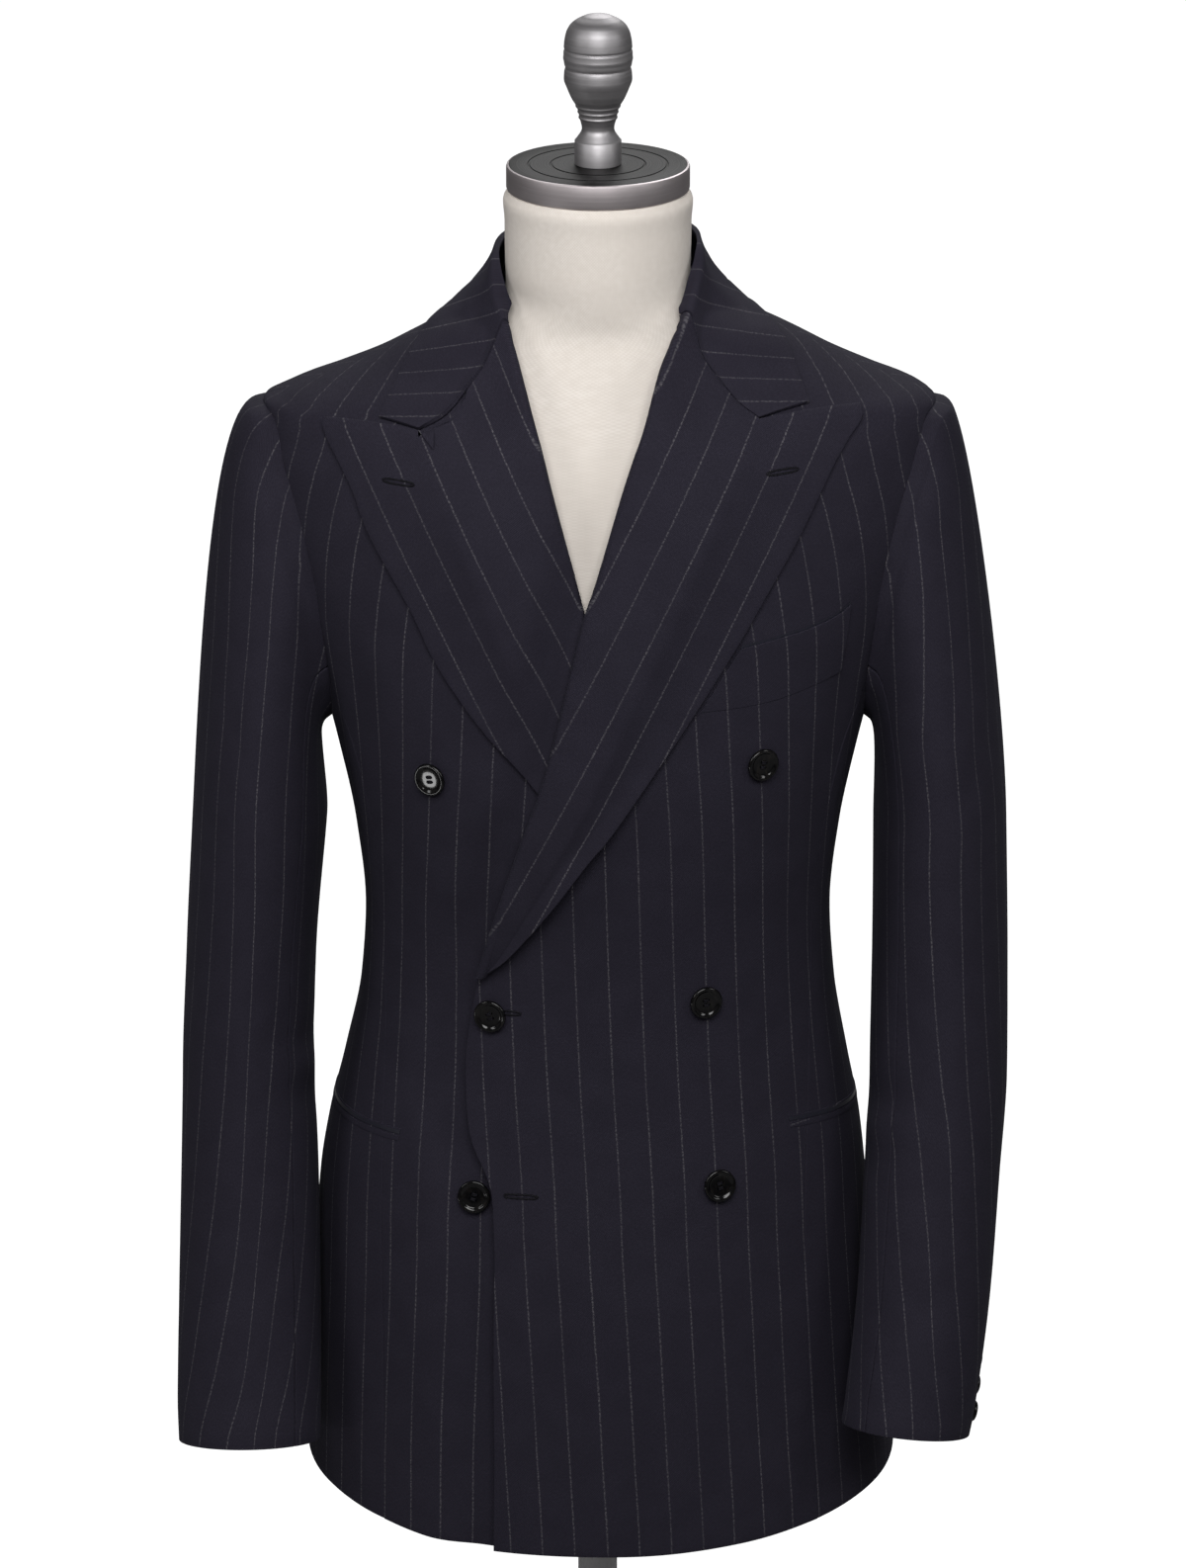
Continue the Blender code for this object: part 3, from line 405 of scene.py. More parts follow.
# The rolled lip under the cap: how far it swells and then turns in, each from a height and over a height
LIP_SWELL, SWELL_FROM, SWELL_OVER = 0.0008, 1.076, 0.012
LIP_TURN, TURN_FROM, TURN_OVER = 0.0026, 1.0875, 0.0071
rows, cuts = [], []
for j in range(UPWARD + 1):
    height = TORSO_BOTTOM + (TORSO_TOP - TORSO_BOTTOM) * (1 - (1 - j / UPWARD) ** 1.35)
    lip = LIP_SWELL * smooth_step((height - SWELL_FROM) / SWELL_OVER)
    lip -= LIP_TURN * smooth_step((height - TURN_FROM) / TURN_OVER) ** 2
    rows.append([])
    for i in range(AROUND + 1):
        angle = 360 * i / AROUND - 180
        outward = Vector((math.sin(math.radians(angle)), -math.cos(math.radians(angle)), 0.0))
        rows[-1].append(torso_point(angle, height) + outward * (lip - CANVAS_IN))
    cuts.append([((i / AROUND - 0.5) * CANVAS_WIDTH, height) for i in range(AROUND + 1)])
shape = grid(rows, cuts)
bmesh.ops.remove_doubles(shape, verts=shape.verts, dist=SAME_PLACE / 2)
bmesh.ops.holes_fill(shape, edges=[edge for edge in shape.edges if edge.is_boundary], sides=0)
bmesh.ops.recalc_face_normals(shape, faces=shape.faces)
torso = linked("canvas_torso", shape, "form_canvas", "form_torso", canvas)

# ---- neck cap -------------------------------------------------------------------------------------
# A turned disc of satin metal that closes the neck. Its side is brushed round, and two fine rings are cut in
# its darker top.
CAP_TOP = 1.11
CAP_OUTLINE = (
    (0.0, 0.0), (0.0272, 0.0), (0.0276, -0.0004), (0.0284, -0.0004), (0.0288, 0.0), (0.0407, 0.0),
    (0.0411, -0.0004), (0.0419, -0.0004), (0.0423, 0.0), (0.0536, 0.0), (0.0546, -0.0004), (0.055, -0.0014),
    (0.055, -0.0134), (0.0546, -0.0145), (0.0536, -0.015), (0.03, -0.015), (0.0, -0.015),
)
CAP_FLAT, CAP_GROOVE = 0.0537, 0.0006  # the dark top ends at this radius and lies within this depth

# Turned brushing: fine scratches that run round the Z axis
BRUSHED, takes, gives = shader_group(
    "turned_brushing",
    [("Place", "Vector", None), ("Lines per metre", "Float", 2600.0)],
    ["Height", "Scratch"],
)
x, y, z = node(BRUSHED, "SeparateXYZ", {0: takes["Place"]}).outputs
radius = reckon(BRUSHED, "SQRT", ("ADD", ("MULTIPLY", x, x), ("MULTIPLY", y, y)))
along_turn = node(BRUSHED, "CombineXYZ", {0: radius, 2: z}).outputs[0]
lines = noise(BRUSHED, along_turn, takes["Lines per metre"], 3.0)
BRUSHED.links.new(lines, gives["Height"])
BRUSHED.links.new(ranged(BRUSHED, lines, 0.35, 0.65), gives["Scratch"])


def brushed_metal(name, dark, light, depth, smoothest=0.46):
    made, tree, shader = finish(name, 0.35, 1.0)
    place = object_place(tree)
    brushing = placed_group(tree, BRUSHED, Place=place)
    scratch = brushing["Scratch"]
    share = reckon(tree, "ADD", ("MULTIPLY", scratch, 0.6), ("MULTIPLY", mottled(tree, place, 35.0), 0.4))
    gloss = ranged(tree, scratch, 0.0, 1.0, smoothest, 0.6)
    dress(tree, shader, blended(tree, share, dark, light), gloss, (brushing["Height"], depth, 0.0001))
    return made


satin_side = brushed_metal("satin_metal_side", (0.39, 0.356, 0.363), (0.51, 0.466, 0.475), 0.10)
satin_top = brushed_metal("satin_metal_top", (0.0085, 0.0082, 0.0082), (0.0130, 0.0124, 0.0124), 0.12)
shape = spun(CAP_OUTLINE, 112, CAP_TOP)
for face in shape.faces:
    middle = face.calc_center_median()
    face.material_index = int(middle.z > CAP_TOP - CAP_GROOVE and middle.xy.length < CAP_FLAT)
cap = linked("satin_neck_cap", shape, "brushed_metal", "form_neck_cap", satin_side, satin_top)
cap.data.set_sharp_from_angle(angle=math.radians(40))

# ---- finial ---------------------------------------------------------------------------------------
# A turned metal knob that screws into the cap, with fine beads and grooves round it, a narrow neck and a
# short straight foot. Spun metal, lightly brushed.
FINIAL = (
    (0.008, 0.09), (0.0135, 0.0872), (0.017, 0.084), (0.0192, 0.0795), (0.0202, 0.074), (0.0206, 0.067),
    (0.0203, 0.062), (0.0198, 0.059), (0.0202, 0.056), (0.0204, 0.052), (0.0187, 0.0468), (0.016, 0.0405),
    (0.0125, 0.0343), (0.011, 0.028), (0.0097, 0.0218), (0.013, 0.0156), (0.014, 0.0145),
)
# Cut grooves and raised beads: height, rise and half width
FINIAL_RINGS = (
    (0.07, -0.0007, 0.0007), (0.0645, 0.0003, 0.0012), (0.059, -0.0004, 0.0008), (0.0352, 0.0006, 0.0008),
    (0.0318, 0.0005, 0.0007), (0.0284, 0.0006, 0.0008),
)
FINE_STEPS = 250
finial_line = [(0.0, 0.091), (0.0035, 0.0908)]
smooth_line = Table([(-height, radius) for radius, height in FINIAL])
for i in range(FINE_STEPS + 1):
    height = FINIAL[0][1] - (FINIAL[0][1] - FINIAL[-1][1]) * i / FINE_STEPS
    rings = sum(rise * math.exp(-(((height - at) / wide) ** 2)) for at, rise, wide in FINIAL_RINGS)
    finial_line.append((smooth_line.at(-height)[0] + rings, height))
finial_line += [FINIAL[-1], (0.014, 0.0003), (0.0, 0.0003)]
satin_knob = brushed_metal("satin_metal_knob", (0.31, 0.299, 0.307), (0.40, 0.387, 0.396), 0.05, 0.48)
shape = spun(finial_line, 72, CAP_TOP)
finial = linked("turned_finial", shape, "brushed_metal", "form_finial", satin_knob)
finial.data.set_sharp_from_angle(angle=math.radians(50))

# ---- fronts ---------------------------------------------------------------------------------------
# Two fronts of worsted wool, cut with the stripe upright. The left front laps over the right one, and each
# runs from the fold of its lapel to the armhole and the side seam, with its edge and hem pressed thin.
CLOTH = 0.002  # wall of one cloth piece
PRESSED = 0.0007  # width of the bevel along its edges
SEAM = 0.00003  # half of the gap at a seam
# How far the right front lies under the left one, where that begins inside the left one's edge, and its ramp
OVERLAP_SINK, OVERLAP_REACH, OVERLAP_RAMP = 0.0068, 0.042, 0.036
# The rise at the padded end of the shoulder: its height, its place and width, and where it grows
SHOULDER_RISE, SHOULDER_END, SHOULDER_WIDE = 0.0014, 0.2045, 0.007
SHOULDER_FROM, SHOULDER_OVER = 0.944, 0.018
NECK_HEIGHT = 1.018  # where the shoulder seam meets the collar
CORE = Vector((0.0, 0.0, 0.65))
PITCH = 0.02  # from one chalk stripe to the next
FRONT_COLUMNS = 72
CURVE_STEPS = 12  # between two given points of a curve
TRIES = 5  # at finding a given distance from the body
BEND_ENDS = 2.6  # widths of a bend, beyond which nothing is left of it

# The armhole, from the shoulder point down the front, under the arm and up the back: angle, height
ARMHOLE_FRONT = (
    (90, 0.9635), (73, 0.96), (65, 0.933), (61, 0.904), (60.5, 0.87), (64, 0.835), (70, 0.8),
)

# The side panel's seams below the armhole: height, front_angle, back_angle
SIDE_SEAMS = (
    (0.8, 70, 110),
    (0.75, 64.5, 114),
    (0.644, 64, 117),
    (0.595, 61, 119),
    (0.502, 50, 124),
    (0.41, 46, 127),
    (0.272, 43.5, 129),
)

# The hem: angle, height
HEM = (
    (-180, 0.281), (-90, 0.279), (-65, 0.2755), (-44, 0.269), (-25, 0.2645),
    (0, 0.2635), (25, 0.2685), (44, 0.2745), (65, 0.279), (90, 0.281), (180, 0.281),
)

# The line where each lapel and the collar fold over, from the side of the neck down: x, y, height
FOLD_LEFT = (
    (0.0605, -0.003, 1.063),
    (0.061, -0.02, 1.051),
    (0.054, -0.048, 1.031),
    (0.039, -0.078, 1.005),
    (0.029, -0.095, 0.973),
    (0.019, -0.106, 0.945),
    (0.001, -0.118, 0.885),
    (-0.008, -0.122, 0.858),
    (-0.019, -0.126, 0.811),
    (-0.031, -0.127, 0.763),
    (-0.0455, -0.123, 0.72),
    (-0.06, -0.116, 0.675),
    (-0.073, -0.108, 0.63),
)
FOLD_RIGHT = (
    (-0.062, -0.004, 1.053),
    (-0.062, -0.022, 1.04),
    (-0.056, -0.046, 1.025),
    (-0.044, -0.08, 0.989),
    (-0.036, -0.097, 0.964),
    (-0.029, -0.107, 0.936),
    (-0.017, -0.115, 0.891),
    (-0.008, -0.119, 0.857),
    (0.008, -0.12, 0.805),
    (0.028, -0.119, 0.745),
    (0.046, -0.113, 0.685),
    (0.06, -0.106, 0.636),
)

# Each front's edge from the bottom of its lapel to the hem: x, height
FRONT_EDGE_LEFT = (
    (-0.073, 0.63), (-0.08, 0.585), (-0.0808, 0.553), (-0.0782, 0.526), (-0.069, 0.5045), (-0.0652, 0.49),
    (-0.064, 0.465), (-0.064, 0.43), (-0.0645, 0.36), (-0.065, 0.264),
)
FRONT_EDGE_RIGHT = ((0.06, 0.636), (0.068, 0.59), (0.07, 0.54), (0.068, 0.48), (0.065, 0.264))

SEAM_ANGLES = Table(SIDE_SEAMS)
HEM_HEIGHTS = Table(HEM)
LEFT_OPENING = Table([(h, x) for x, y, h in FOLD_LEFT] + [(h, x) for x, h in FRONT_EDGE_LEFT[1:]])

# Where one stripe of each front crosses each height: height, way round the body from the middle
STRIPE_LEFT = Table([
    (0.26, 0.004), (0.309, 0.0024), (0.341, 0.0018), (0.466, -0.0024), (0.59, -0.012), (0.655, -0.0143),
    (0.72, -0.0163), (0.77, -0.0195), (0.83, -0.024), (0.87, -0.03), (0.91, -0.039), (0.96, -0.056),
    (1.0, -0.068),
])
STRIPE_RIGHT = Table([
    (0.26, -0.0825), (0.309, -0.081), (0.341, -0.079), (0.466, -0.0718), (0.59, -0.0725), (0.655, -0.0715),
    (0.72, -0.0674), (0.77, -0.0637), (0.83, -0.06), (0.87, -0.054), (0.91, -0.045), (0.96, -0.028),
    (1.0, -0.016),
])


def front_angle(x, height):
    """The angle at which the front of the body has this x."""
    centre, half_width, _, _, power = BODY_SECTIONS.at(height)
    share = min(abs(x - centre) / half_width, 1.0) ** (power / 2)
    return math.copysign(math.degrees(math.asin(share)), x - centre)


def body_shares(point):
    """The point's x and y as shares of the body's width and depth at its height, and the section's power."""
    centre, half_width, front, back, power = BODY_SECTIONS.at(point.z)
    return abs(point.x - centre) / half_width, abs(point.y) / (front if point.y < 0 else back), power, centre


def fullness(point):
    """1 on the body's surface, more outside it."""
    across, ahead, power, _ = body_shares(point)
    return (across ** power + ahead ** power) ** (1 / power)


def distance_to_body(point):
    """How far the point lies outside the body, and the way out."""
    step = 0.0004
    slope = Vector([
        (fullness(point + axis * step) - fullness(point - axis * step)) / (2 * step)
        for axis in (Vector((1, 0, 0)), Vector((0, 1, 0)), Vector((0, 0, 1)))
    ])
    return (fullness(point) - 1) / slope.length, slope.normalized()


def placed(point, distance):
    """The point moved along the way out until it lies at this distance from the body."""
    for _ in range(TRIES):
        now, way_out = distance_to_body(point)
        point = point + way_out * (distance - now)
    return point


def angle_and_height(point):
    """The foot of a point on the body, as an angle and a height."""
    foot = placed(point, 0.0)
    across, ahead, power, centre = body_shares(foot)
    sine = math.copysign(across ** (power / 2), foot.x - centre)
    cosine = math.copysign(ahead ** (power / 2), -foot.y)
    return Vector((math.degrees(math.atan2(sine, cosine)), foot.z))


def steps(count, short=0.3):
    """Shares from 0 to 1, the first and the last step short so that a wall's rim leans with its surface."""
    inner = [short + i for i in range(count - 1)]
    total = inner[-1] + short
    return [0.0] + [step / total for step in inner] + [1.0]


def even(count):
    """Shares from 0 to 1 in equal steps."""
    return [i / count for i in range(count + 1)]


def way_along(points):
    """The length of a line of points up to each of them."""
    lengths = [0.0]
    for a, b in zip(points, points[1:]):
        lengths.append(lengths[-1] + (b - a).length)
    return lengths


def through(points, shares):
    """Points at these shares of a smooth curve's length. A point is a place, or an angle and a height."""
    points = [Vector(p) for p in points]
    ends = [points[0] * 2 - points[1], *points, points[-1] * 2 - points[-2]]
    fine = []
    for a, b, c, d in zip(ends, ends[1:], ends[2:], ends[3:]):
        for t in even(CURVE_STEPS)[:-1]:
            fine.append(
                b + (c - a) * (t / 2) + (a * 2 - b * 5 + c * 4 - d) * (t * t / 2)
                + (b * 3 - a - c * 3 + d) * (t ** 3 / 2)
            )
    fine.append(points[-1])
    lengths = way_along([on_body(*p) if len(p) == 2 else p for p in fine])
    found = []
    i = 0
    for share in shares:
        wanted = share * lengths[-1]
        while i < len(fine) - 2 and lengths[i + 1] < wanted:
            i += 1
        found.append(fine[i].lerp(fine[i + 1], (wanted - lengths[i]) / (lengths[i + 1] - lengths[i])))
    return found


def coons(top, bottom, left, right, across):
    """Rows of points that fill four edges; across holds the shares of the columns."""
    rows = []
    for i, (start, end) in enumerate(zip(left, right)):
        v = i / (len(left) - 1)
        row = []
        for u, upper, lower in zip(across, top, bottom):
            corners = top[0].lerp(top[-1], u).lerp(bottom[0].lerp(bottom[-1], u), v)
            row.append(upper * (1 - v) + lower * v + start * (1 - u) + end * u - corners)
        rows.append(row)
    return rows


def each(rows, work):
    """The same work done on every point of some rows."""
    return [[work(point) for point in row] for row in rows]


def sink(point):
    """Share of the full overlap depth, growing towards the left front's edge."""
    return smooth_step((point.x - LEFT_OPENING.at(point.z)[0] + OVERLAP_REACH) / OVERLAP_RAMP)


def under_overlap(angle, height):
    """A point of the right front, which passes under the left one."""
    return body_point(angle, height, -OVERLAP_SINK * sink(on_body(angle, height)))


def pad_rise(point):
    """How much higher the padded end of the shoulder stands, so that it runs level into the sleeve head."""
    inward = (SHOULDER_END - abs(point.x - BODY_SECTIONS.at(point.z)[0])) / SHOULDER_WIDE
    rise = SHOULDER_RISE * math.exp(-inward * inward) * smooth_step((point.z - SHOULDER_FROM) / SHOULDER_OVER)
    return Vector((0.0, 0.0, rise))


def hem(angle):
    return HEM_HEIGHTS.at(angle)[0]


def mirrored(points, side):
    """Angles that are given for the left, turned round for the right."""
    return [(angle * side, height) for angle, height in points]


def seam_points(column):
    """A side seam from the armhole to the hem; column 0 is the front seam and 1 the back one."""
    heights = (0.8, 0.765, 0.73, 0.69, 0.644, 0.6, 0.55, 0.5, 0.44, 0.36)
    hem_angle = SIDE_SEAMS[-1][column + 1]
    hem_height = (hem(hem_angle) + hem(-hem_angle)) / 2
    return [(SEAM_ANGLES.at(h)[column], h) for h in heights] + [(hem_angle, hem_height)]


UPPER = steps(62, 0.3)
LOWER = steps(74, 0.5)


def pulled(pairs, angle_gap):
    """Edge points moved off a seam."""
    return [Vector((p[0] + angle_gap, p[1])) for p in pairs]


def seam_gap(side):
    """The angle that half the gap at a side seam covers."""
    return math.degrees(SEAM / BODY_SECTIONS.at(0.6)[1]) * side


def level_edge(start, end, across):
    """The foot of a panel between two angles, along the hem."""
    return [Vector((angle, hem(angle))) for angle in [start.lerp(end, u)[0] for u in across]]


# The way round the body at each height, from the centre front, worked out once and read between
AROUND_STEP, RISE_STEP, LOWEST = 2.0, 0.01, 0.24
TURNS, RISES = 90, 82
ways_round = [
    way_along([on_body(turn * AROUND_STEP, LOWEST + rise * RISE_STEP) for turn in range(TURNS + 1)])
    for rise in range(RISES)
]


def way_round(angle, height):
    """The signed length round the body from the centre front."""
    turn = min(abs(angle) / AROUND_STEP, TURNS - 0.001)
    rise = min(max((height - LOWEST) / RISE_STEP, 0.0), RISES - 1.001)
    i, j = int(turn), int(rise)
    t, s = turn - i, rise - j
    low = ways_round[j][i] * (1 - t) + ways_round[j][i + 1] * t
    high = ways_round[j + 1][i] * (1 - t) + ways_round[j + 1][i + 1] * t
    return math.copysign(low * (1 - s) + high * s, angle)


def striped(rows, stripe_way):
    """The cut of a front or side panel, laid so that its stripes run where one of them is given to run."""
    return each(rows, lambda p: (way_round(*p) - stripe_way.at(p[1])[0] + PITCH / 2, p[1]))


def swell(place, bends):
    """How far the cloth stands out at a place on its cut. A bend is its ends, its width and its height."""
    total = 0.0
    for ax, ay, bx, by, width, height in bends:
        run = Vector((bx - ax, by - ay))
        off = Vector((place[0] - ax, place[1] - ay))
        near = min(max(off.dot(run) / run.length_squared, 0.0), 1.0)
        away = (off - run * near).length / width
        if away < BEND_ENDS:
            total += height * math.exp(-away * away) * (0.25 + 0.75 * math.sin(math.pi * near))
    return total


# Twill: the slanting ribs of worsted wool across a piece's own cut
TWILL, takes, gives = shader_group(
    "twill_weave", [("Cut", "Vector", None), ("Rib", "Float", 0.0009)], ["Height", "Shade"]
)
x, y, _ = node(TWILL, "SeparateXYZ", {0: takes["Cut"]}).outputs
slant = reckon(TWILL, "ADD", x, ("MULTIPLY", y, 0.6))
rib = reckon(TWILL, "SINE", ("MULTIPLY", ("DIVIDE", slant, takes["Rib"]), 2 * math.pi))
stretched = node(TWILL, "Mapping", {"Vector": takes["Cut"], "Scale": (1.0, 0.35, 1.0)}).outputs[0]
fibre = noise(TWILL, stretched, 2200.0, 2.0)
shade = reckon(TWILL, "ADD", ("MULTIPLY", rib, 0.12), fibre)
TWILL.links.new(reckon(TWILL, "ADD", ("MULTIPLY", rib, 0.35), fibre), gives["Height"])
TWILL.links.new(ranged(TWILL, shade, 0.2, 0.8), gives["Shade"])

# Chalk stripe: fine broken upright lines at an even pitch
CHALK, takes, gives = shader_group(
    "chalk_stripe",
    [("Cut", "Vector", None), ("Pitch", "Float", 0.020), ("Width", "Float", 0.0010)],
    ["Line"],
)
cut, pitch = takes["Cut"], takes["Pitch"]
whole = reckon(CHALK, "DIVIDE", node(CHALK, "SeparateXYZ", {0: cut}).outputs[0], pitch)
off = reckon(CHALK, "MULTIPLY", ("ABSOLUTE", ("SUBTRACT", ("FRACT", whole), 0.5)), pitch)
line = ranged(CHALK, reckon(CHALK, "DIVIDE", off, takes["Width"]), 0.25, 0.75, 1.0, 0.0)
broken = ranged(CHALK, noise(CHALK, cut, 700.0, 2.0), 0.42, 0.58, 0.12, 1.0)
faded = ranged(CHALK, noise(CHALK, cut, 22.0, 2.0), 0.3, 0.7, 0.55, 1.0)
CHALK.links.new(reckon(CHALK, "MULTIPLY", line, ("MULTIPLY", broken, faded)), gives["Line"])

wool, tree, shader = finish(
    "navy_pinstripe_wool", 0.80, Specular_IOR_Level=0.10, Sheen_Weight=0.02, Sheen_Roughness=0.45,
    Sheen_Tint=(0.55, 0.56, 0.7, 1.0),
)
cut = cut_place(tree)
weave = placed_group(tree, TWILL, Cut=cut, Rib=0.001)
stripe = placed_group(tree, CHALK, Cut=cut, Pitch=PITCH, Width=0.0009)["Line"]
patches, flecks = mottled(tree, cut, 45.0), mottled(tree, cut, 620.0)
patches = reckon(tree, "ADD", ("MULTIPLY", patches, 0.45), ("MULTIPLY", flecks, 0.55))
ground = blended(tree, patches, (0.017, 0.015, 0.0238), (0.025, 0.0226, 0.0345))
twilled = blended(tree, weave["Shade"], (0.0145, 0.0130, 0.0205), ground)
dress(
    tree, shader, blended(tree, stripe, twilled, (0.082, 0.078, 0.088)),
    ranged(tree, weave["Shade"], 0.0, 1.0, 0.88, 0.76), (weave["Height"], 0.30, 0.00020),
)

# Lining: thin satin inside the sleeves and the body, also laid along the pocket openings as painted shade
lining, tree, shader = finish("navy_lining", 0.38, Specular_IOR_Level=0.45, Sheen_Weight=0.05)
weave = placed_group(tree, WEAVE, Cut=cut_place(tree), Thread=0.0004)
share = ranged(tree, weave["Shade"], 0.2, 0.9)
satin = blended(tree, share, (0.008, 0.008, 0.014), (0.014, 0.014, 0.024))
dress(tree, shader, satin, None, (weave["Height"], 0.15, 0.0001))


def turn_out(shape, inside):
    """Turns the faces of a grid away from a point inside it."""
    shape.normal_update()
    if sum(face.normal.dot(face.calc_center_median() - inside) for face in shape.faces) < 0:
        bmesh.ops.reverse_faces(shape, faces=shape.faces)
        shape.normal_update()


def cloth(
    node_name, rows, cuts, inside=CORE, bends=None, wall=CLOTH, edge=PRESSED, grows_out=False,
    lined=False,
):
    """A cloth piece: a grid through the rows of points, laid out on its cut, bent, and given its wall."""
    shape = grid(rows, cuts)
    turn_out(shape, inside)
    if bends:
        for vertex, height in zip(shape.verts, [value for row in bends for value in row]):
            vertex.co += vertex.normal * height
    finishes = (wool, lining) if lined else (wool,)
    made = linked(f"pinstripe_{node_name}", shape, "pinstripe_wool", node_name, *finishes)
    thick = made.modifiers.new("Wall", "SOLIDIFY")
    thick.thickness = wall
    thick.offset = 1.0 if grows_out else -1.0
    thick.use_even_offset = True
    thick.material_offset = int(lined)
    rim = made.modifiers.new("Pressed edge", "BEVEL")
    rim.width = edge
    rim.segments = 2
    rim.limit_method = "ANGLE"
    rim.angle_limit = math.radians(55)
    return made


def front(word, side, fold, edge, stripe_way, bends):
    """One front from its fold and front edge to the armhole and the side seam."""
    neck = [Vector((90 * side, NECK_HEIGHT))]
    start = through(neck + [angle_and_height(Vector(p)) for p in fold[2:]], UPPER)
    inner = start + through([(front_angle(x, h), h) for x, h in edge], LOWER)[1:]
    gap = seam_gap(side)
    armhole = through(mirrored(ARMHOLE_FRONT, side), UPPER)
    outer = pulled(armhole + through(mirrored(seam_points(0), side), LOWER)[1:], -gap)
    inner = pulled(inner[:1], -gap) + pulled(inner[1:], gap * 10)
    across = steps(FRONT_COLUMNS)
    top = [inner[0].lerp(outer[0], u) for u in across]
    rows = coons(top, level_edge(inner[-1], outer[-1], across), inner, outer, across)
    folds = each(rows, lambda p: swell((way_round(*p), p[1]), bends))
    place = on_body if side > 0 else under_overlap
    solid = each(each(rows, lambda p: place(*p)), lambda p: p + pad_rise(p))
    return cloth(
        f"front_{word}", solid, striped(rows, stripe_way), bends=folds, lined=True
    )


# Soft bends of each front: the two ends as way round and height, width, and how far it stands out
LEFT_BENDS = (
    (-0.045, 0.6, 0.055, 0.56, 0.01, 0.0007), (-0.04, 0.59, 0.02, 0.535, 0.009, 0.0007),
    (-0.04, 0.612, 0.05, 0.64, 0.01, -0.0006), (-0.058, 0.58, -0.05, 0.525, 0.014, 0.0012),
    (0.168, 0.84, 0.152, 0.73, 0.015, -0.0015), (0.02, 0.46, 0.03, 0.3, 0.03, 0.001),
    (0.1, 0.45, 0.115, 0.29, 0.028, -0.0011),
)
RIGHT_BENDS = (
    (-0.158, 0.845, -0.15, 0.725, 0.016, -0.0014), (-0.1, 0.45, -0.112, 0.29, 0.03, 0.0012),
    (-0.086, 0.6, -0.135, 0.572, 0.009, 0.0007), (-0.088, 0.575, -0.12, 0.535, 0.01, -0.0006),
    (-0.14, 0.47, -0.155, 0.3, 0.024, -0.001),
)
front_left = front("left", 1, FOLD_LEFT, FRONT_EDGE_LEFT, STRIPE_LEFT, LEFT_BENDS)
front_right = front("right", -1, FOLD_RIGHT, FRONT_EDGE_RIGHT, STRIPE_RIGHT, RIGHT_BENDS)

# ---- side panels ----------------------------------------------------------------------------------
# One narrow panel under each arm, from the hollow of the armhole to the hem, which shapes the waist between
# the front and the back. Its bends are given like those of the fronts, on the left and on the right.
SIDES = ((1, "left", STRIPE_LEFT, front_left), (-1, "right", STRIPE_RIGHT, front_right))
ARMHOLE_UNDER = ((70, 0.8), (78, 0.777), (90, 0.765), (102, 0.777), (110, 0.8))
SIDE_BENDS = {
    "left": ((0.212, 0.700, 0.224, 0.600, 0.014, -0.0012), (0.236, 0.660, 0.242, 0.575, 0.012, 0.0010)),
    "right": ((0.218, 0.720, 0.222, 0.610, 0.013, -0.0011), (0.240, 0.640, 0.236, 0.560, 0.013, 0.0009)),
}

for side, word, stripe_way, _ in SIDES:
    gap = seam_gap(side)
    across = steps(34)
    seams = (through(mirrored(seam_points(column), side), LOWER) for column in (0, 1))
    near, far = (pulled(seam, off) for seam, off in zip(seams, (gap, -gap)))
    top = through(mirrored(ARMHOLE_UNDER, side), across)
    top[0], top[-1] = near[0], far[0]
    rows = coons(top, level_edge(near[-1], far[-1], across), near, far, across)
    folds = each(rows, lambda p: swell((abs(way_round(*p)), p[1]), SIDE_BENDS[word]))
    solid = each(rows, lambda p: on_body(*p))
    cloth(f"side_panel_{word}", solid, striped(rows, stripe_way), bends=folds, lined=True)

# ---- backs ----------------------------------------------------------------------------------------
# Two back pieces joined down the middle, without a vent. The stripes run parallel to the centre seam and
# meet the shoulder seams at a slant.
SHOULDER_HEIGHT, BACK_NECK_HEIGHT = 0.9635, 1.022
ARMHOLE_BACK = (
    (110, 0.8), (116, 0.835), (119, 0.87), (119, 0.904), (115, 0.933), (107, 0.959), (90, 0.9635),
)
BACK_BENDS = {
    "left": (
        (0.05, 0.645, 0.13, 0.622, 0.014, -0.0012), (0.04, 0.612, 0.12, 0.588, 0.013, 0.001),
        (0.03, 0.93, 0.105, 0.898, 0.02, -0.0009), (0.105, 0.45, 0.115, 0.3, 0.03, 0.0012),
    ),
    "right": (
        (0.035, 0.652, 0.12, 0.64, 0.013, -0.0011), (0.045, 0.622, 0.128, 0.602, 0.012, 0.001),
        (0.025, 0.936, 0.09, 0.915, 0.018, -0.0008), (0.09, 0.43, 0.1, 0.29, 0.028, 0.0011),
    ),
}

